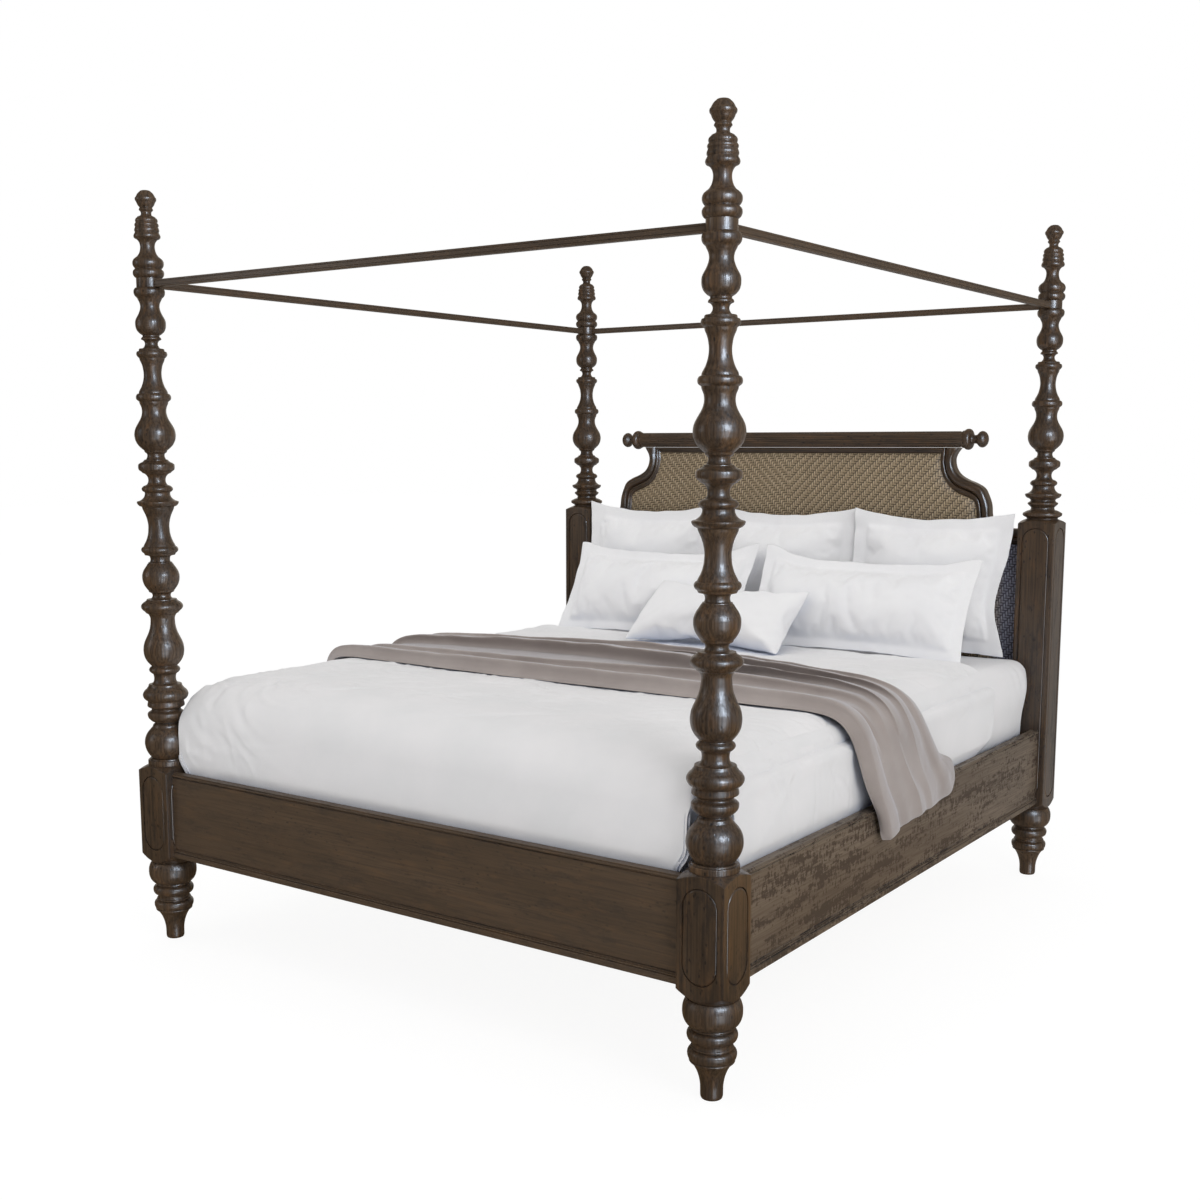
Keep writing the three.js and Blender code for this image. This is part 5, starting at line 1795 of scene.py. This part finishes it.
def pillow(node, width, height, depth, flange, low, high, mid_x, seed, cells, sag, shape,
           back=None, roll=0.0):
    """A filled pillow whose lower edge lies at low (y, z) and upper edge at high (y, z).

    sag: how much fatter it is low down; shape: a function that bends it; back: a function of
    the height along it that flattens its back; roll: turn about its facing axis, radians.
    """
    verts, faces, uv, filled = pillow_grid(width, height, flange, depth, cells)
    x, y = verts[:, 0].copy(), verts[:, 1].copy()
    # uneven filling before inflation
    verts[:, 2] *= 1 + 0.22 * noise(x / 170, y / 150, seed) + 0.10 * noise(x / 60, y / 60, seed + 1)
    move = inflate("tmp_" + node, verts, faces, filled,
                   ~filled if flange > 0 else None) - verts
    distance = np.linalg.norm(move, axis=1)
    verts = verts + move * np.minimum(1, 60.0 / np.maximum(distance, 1e-6))[:, None]
    # back to full size: the case still reaches its nominal width and height
    for axis, size in ((0, width), (1, height)):
        least, most = verts[:, axis].min(), verts[:, axis].max()
        verts[:, axis] = (verts[:, axis] - (most + least) / 2) * (size / (most - least))
    thick = np.percentile(verts[:, 2], 99.5) - np.percentile(verts[:, 2], 0.5)
    verts[:, 2] *= depth / max(thick, 1e-6)
    facing = np.sign(verts[:, 2])
    across, up = 2 * x / width, 2 * y / height
    if flange > 0:  # the filling draws the sides in between the corners
        verts[:, 0] -= np.sign(across) * np.abs(across) ** 2 * (1 - up ** 2) * 0.022 * width
        verts[:, 1] -= np.sign(up) * np.abs(up) ** 2 * (1 - across ** 2) * 0.018 * height
    verts[:, 2] *= 1 - sag * np.sin(up * 1.4)
    relief = corner_creases(x, y, width, height, seed + 9)
    # puckers along the seam line
    edge_x, edge_y = width / 2 - flange - np.abs(x), height / 2 - flange - np.abs(y)
    edge = np.minimum(edge_x, edge_y)
    along = np.where(edge_x < edge_y, y, x)
    relief += (2.6 * noise(along / 17, edge / 70, seed + 3)
               * np.exp(-np.clip(edge, 0, 999) / 38) * (edge > 0))
    relief += 3.0 * noise(x / 95, y / 80, seed + 4) + 1.6 * noise(x / 38, y / 44, seed + 5)
    relief += creases(x, y, 16, seed=seed + 6, length=60, width=8, height=3.0, spread=1.2,
                      area=(-width / 2, width / 2, -height / 2, height / 2))
    from_rim = np.clip(1 - np.maximum(np.abs(across), np.abs(up)), 0, 1)
    verts[:, 2] += facing * relief * ease(0.0, 0.12, from_rim) * filled
    if back is not None:
        verts[:, 2] = np.where((facing < 0) & filled, verts[:, 2] * back(up), verts[:, 2])
    if flange > 0:  # the flange waves
        out = np.clip(-edge / flange, 0, 1)
        wave = 9 * noise(along / 75, seed * 0.7, seed + 7) + 4.5 * noise(along / 30, 0.2, seed + 8)
        verts[:, 1] += (np.sign(up) * out * 3.5 * noise(x / 60, 0.9, seed + 12)
                        * (np.abs(up) > 0.7))
        verts[:, 2] += wave * out
        # stitched line beside the body
        verts[:, 2] *= 1 - 0.5 * bell(edge + 2, 2.5) * (edge < 0)
    shape(verts, across, up)
    # roll about the facing axis, then stand it up
    c, s = math.cos(roll), math.sin(roll)
    rolled_x = verts[:, 0] * c - verts[:, 1] * s
    rolled_y = verts[:, 0] * s + verts[:, 1] * c
    rise_y, rise_z = high[0] - low[0], high[1] - low[1]
    slope = math.hypot(rise_y, rise_z)
    rise_y, rise_z = rise_y / slope, rise_z / slope
    placed = points(mid_x + rolled_x,
                    (low[0] + high[0]) / 2 + rolled_y * rise_y - verts[:, 2] * rise_z,
                    (low[1] + high[1]) / 2 + rolled_y * rise_z + verts[:, 2] * rise_y)
    rest_on_bed(placed)
    ob = make(node + "_filled", placed, faces, PILLOW, node, uv=uv)
    smooth = ob.modifiers.new("smooth", "SUBSURF")
    smooth.levels = smooth.render_levels = 1
    bake(ob)


def euro_shape(side, bias):
    """Upper edge sunk in the middle, top corners forward by a bias of each cushion's own."""
    def shape(verts, across, up):
        verts[:, 1] -= 26 * (1 - across ** 2) * ease(0.2, 1.0, up)
        verts[:, 2] += 10 * ease(0.5, 1.0, up) * np.abs(across) ** 3 * bias
        verts[:, 1] += 8 * noise(across * 2.6, bias * 3, 61) * ease(0.3, 1, up)
        if side == "right":
            verts[:, 0] -= 40 * bell(up + 0.3, 0.5) * ease(0.45, 1.0, across)
            # its inner edge laps in front of the middle cushion's
            verts[:, 0] -= 12 * (1 - up ** 2) * ease(0.5, 1.0, -across)
            verts[:, 2] += 13 * ease(0.72, 1.0, -across)
        elif side == "middle":
            verts[:, 0] += 14 * (1 - up ** 2) * ease(0.5, 1.0, across)
            verts[:, 2] -= 5 * ease(0.72, 1.0, across)
    return shape


def king_shape(seed, sx):
    def shape(verts, across, up):
        verts[:, 1] -= 22 * (1 - np.abs(across) ** 2.2) * ease(0.1, 1.0, up)
        verts[:, 1] += 10 * (1 - np.abs(across) ** 2) * ease(-0.2, -1.0, up)
        verts[:, 1] += 7 * noise(across * 3.1, seed, 63 + seed) * ease(0.2, 1, up)
        # the top corners stand up, most of all next to the middle of the bed
        verts[:, 1] += 30 * bell(across + 0.93 * sx, 0.2) * ease(0.3, 1.0, up)
        verts[:, 1] += 14 * bell(across - 0.9 * sx, 0.16) * ease(0.3, 1.0, up)
        # the outer end falls back, the inner end comes a little forward
        verts[:, 2] -= np.where(across * sx > 0, 16, -8) * np.abs(across) ** 2.5
    return shape


def lumbar_shape(verts, across, up):
    verts[:, 1] -= 12 * (1 - across ** 2) * ease(0.0, 1.0, up)
    verts[:, 1] += 10 * (1 - across ** 2) * ease(0.0, -1.0, up)
    verts[:, 2] -= 10 * np.abs(across) ** 2.5


for side, mid_x, seed, bias in (("left", -607, 100, 0.4), ("middle", 0, 200, 0.7),
                                ("right", 607, 300, 1.0)):
    pillow(f"euro_sham_{side}", width=607, height=516, depth=182, flange=52, low=(988, 789),
           high=(1050, 1301), mid_x=mid_x, seed=seed, cells=(42, 34), sag=0.12,
           shape=euro_shape(side, bias), back=lambda up: 1 - 0.45 * ease(-0.5, 0.25, up))
for side, mid_x, seed in (("left", -430, 400), ("right", 432, 500)):
    pillow(f"king_sham_{side}", width=846, height=388, depth=178, flange=46, low=(704, 798),
           high=(888, 1136), mid_x=mid_x, seed=seed, cells=(62, 26), sag=0.12,
           shape=king_shape(seed, SIDES[side]), back=lambda up: 0.8)
pillow("lumbar_pillow", width=644, height=336, depth=154, flange=0, low=(442, 822),
       high=(702, 1028), mid_x=-16, seed=600, cells=(48, 27), sag=0.16, shape=lumbar_shape,
       roll=-0.03)


# =============================================================================
# Floor and world
# =============================================================================
def floor_material():
    """Nearly white to the camera; polished timber sees a warm, dim room floor instead."""
    m = Material("studio_floor")
    glossy, camera = m.node("LightPath", output=("Is Glossy Ray", "Is Camera Ray"))
    grain = m.noise(m.coords((3, 3, 3), vary=False), detail=2)
    pale = m.mix(grain * 0.1, (0.93, 0.93, 0.93, 1), (0.89, 0.89, 0.885, 1))
    diffuse = m.node("BsdfDiffuse", {"Color": pale})
    x, y, _ = m.split(m.node("NewGeometry", output="Position"))
    warm = m.mix((x + y * 0.35).remap(1.0, 3.2), (0.13, 0.085, 0.042, 1), (0.80, 0.45, 0.16, 1))
    warm = m.mix(y.remap(0.4, 2.0), warm, (0.36, 0.345, 0.33, 1))
    # cool light seen at a low angle in one direction: a thin line on upright rounds
    in_x, in_y, in_z = m.split(m.node("NewGeometry", output="Incoming"))
    flat = m.math("SQRT", in_x * in_x + in_y * in_y)
    toward = (in_x * -0.88 + in_y * 0.475) / flat
    patch = toward.remap(0.955, 0.985) * in_z.remap(0.62, 0.42)
    warm = m.mix(patch, warm, (0.76, 0.87, 1.0, 1))
    reflected = m.node("Emission", {"Color": warm, "Strength": 1.0 + patch * 6.5})
    unseen = m.node("MixShader", {0: glossy, 1: diffuse, 2: reflected})
    glow = m.node("Emission", {"Color": (1, 1, 1, 1), "Strength": 1.06})
    seen = m.node("MixShader", {0: 0.14, 1: glow, 2: diffuse})
    m.finish(m.node("MixShader", {0: camera, 1: unseen, 2: seen}))
    return m.material


def stage_floor():
    cells, half = 24, 30  # half side in metres
    mesh = bpy.data.meshes.new("floor")
    stations = [-half + 2 * half * i / cells for i in range(cells + 1)]
    mesh.from_pydata([(x, y, 0.0) for x in stations for y in stations], [],
                     grid_faces(cells + 1, cells + 1))
    ob = link_object("floor", mesh)
    mesh.materials.append(floor_material())


def studio_world():
    """White to the camera, even grey light, and a dim room in the reflections."""
    world = bpy.data.worlds.new("studio")
    bpy.context.scene.world = world
    world.use_nodes = True
    m = Shader(world.node_tree, "OutputWorld")
    glossy, camera = m.node("LightPath", output=("Is Glossy Ray", "Is Camera Ray"))
    direction = m.node("TexCoord", output="Generated")
    x, y, z = m.split(direction)
    # the room is brighter towards +x and +y, overhead, and in one patch beyond the bed
    room = m.mix((x * 0.75 + y * 0.5).remap(-0.3, 1.0),
                 (0.06, 0.042, 0.026, 1), (0.42, 0.36, 0.29, 1))
    room = m.mix(z.remap(0.45, 1.0), room, (0.22, 0.20, 0.18, 1))
    ahead = m.node("VectorMath", {0: direction, 1: (-0.574, 0.807, -0.137)}, output="Value",
                   operation="DOT_PRODUCT")
    room = m.mix(ahead.remap(0.72, 0.95), room, (1.0, 0.93, 0.84, 1))
    ambient = m.mix(z.remap(-0.2, 0.9), (0.68, 0.68, 0.69, 1), (0.72, 0.715, 0.71, 1))
    to_camera, to_diffuse, to_glossy = (
        m.node("Background", {"Color": colour, "Strength": 1.0})
        for colour in ((1, 1, 1, 1), ambient, room))
    unseen = m.node("MixShader", {0: glossy, 1: to_diffuse, 2: to_glossy})
    m.finish(m.node("MixShader", {0: camera, 1: unseen, 2: to_camera}))


stage_floor()
studio_world()


# =============================================================================
# Lights and camera, in metres
# =============================================================================
def area(name, location, target, size, power, color, diffuse=True, glossy=True):
    light = bpy.data.lights.new(name, "AREA")
    light.shape = "RECTANGLE"
    light.size, light.size_y = size
    light.energy = power
    light.color = color
    ob = link_object(name, light)
    ob.location = location
    ob.rotation_euler = (Vector(target) - Vector(location)).to_track_quat("-Z", "Y").to_euler()
    ob.visible_diffuse = diffuse
    ob.visible_glossy = glossy


AZIMUTH, PITCH = math.radians(35.4456), math.radians(7.8805)
FORWARD = Vector((-math.sin(AZIMUTH) * math.cos(PITCH), math.cos(AZIMUTH) * math.cos(PITCH),
                  -math.sin(PITCH)))
RIGHT = Vector((math.cos(AZIMUTH), math.sin(AZIMUTH), 0))
# two tall window panes, behind the camera and to its right
WINDOW_WAY = (-FORWARD * 0.86 + RIGHT * 0.42 + Vector((0, 0, 0.22))).normalized()
LIT_POINT = Vector((0.4, -0.3, 1.2))
for k, offset in enumerate((-0.62, 0.62)):
    area(f"window_{k}", LIT_POINT + WINDOW_WAY * 6.2 + RIGHT * offset,
         LIT_POINT + RIGHT * offset, size=(1.05, 2.3), power=300, color=(0.70, 0.83, 1.0),
         diffuse=False)
area("key", LIT_POINT + WINDOW_WAY * 5.5 + Vector((0, 0, 1.2)), LIT_POINT, size=(2.6, 2.6),
     power=66, color=(1.0, 0.985, 0.965), glossy=False)
area("overhead", (-1.4, -0.6, 5.0), (0, 0, 0.8), size=(4.0, 4.0), power=34,
     color=(1.0, 0.99, 0.97), glossy=False)
area("strip_left", (-4.2, -4.6, 2.4), (0, 0, 1.2), size=(0.5, 2.4), power=22,
     color=(0.85, 0.92, 1.0), diffuse=False)

lens = bpy.data.cameras.new("camera")
lens.lens = 43.317
lens.sensor_width = 36
lens.shift_x = 0.00688
lens.shift_y = 0.03749
lens.clip_end = 100
camera = link_object("camera", lens)
camera.location = Vector((2.62573, -3.91456, 1.52939))
camera.rotation_mode = "QUATERNION"
camera.rotation_quaternion = FORWARD.to_track_quat("-Z", "Y")
bpy.context.scene.camera = camera

view = bpy.context.scene.view_settings
view.view_transform = "Standard"
view.look = "None"
view.exposure = 0.0
view.gamma = 1.0
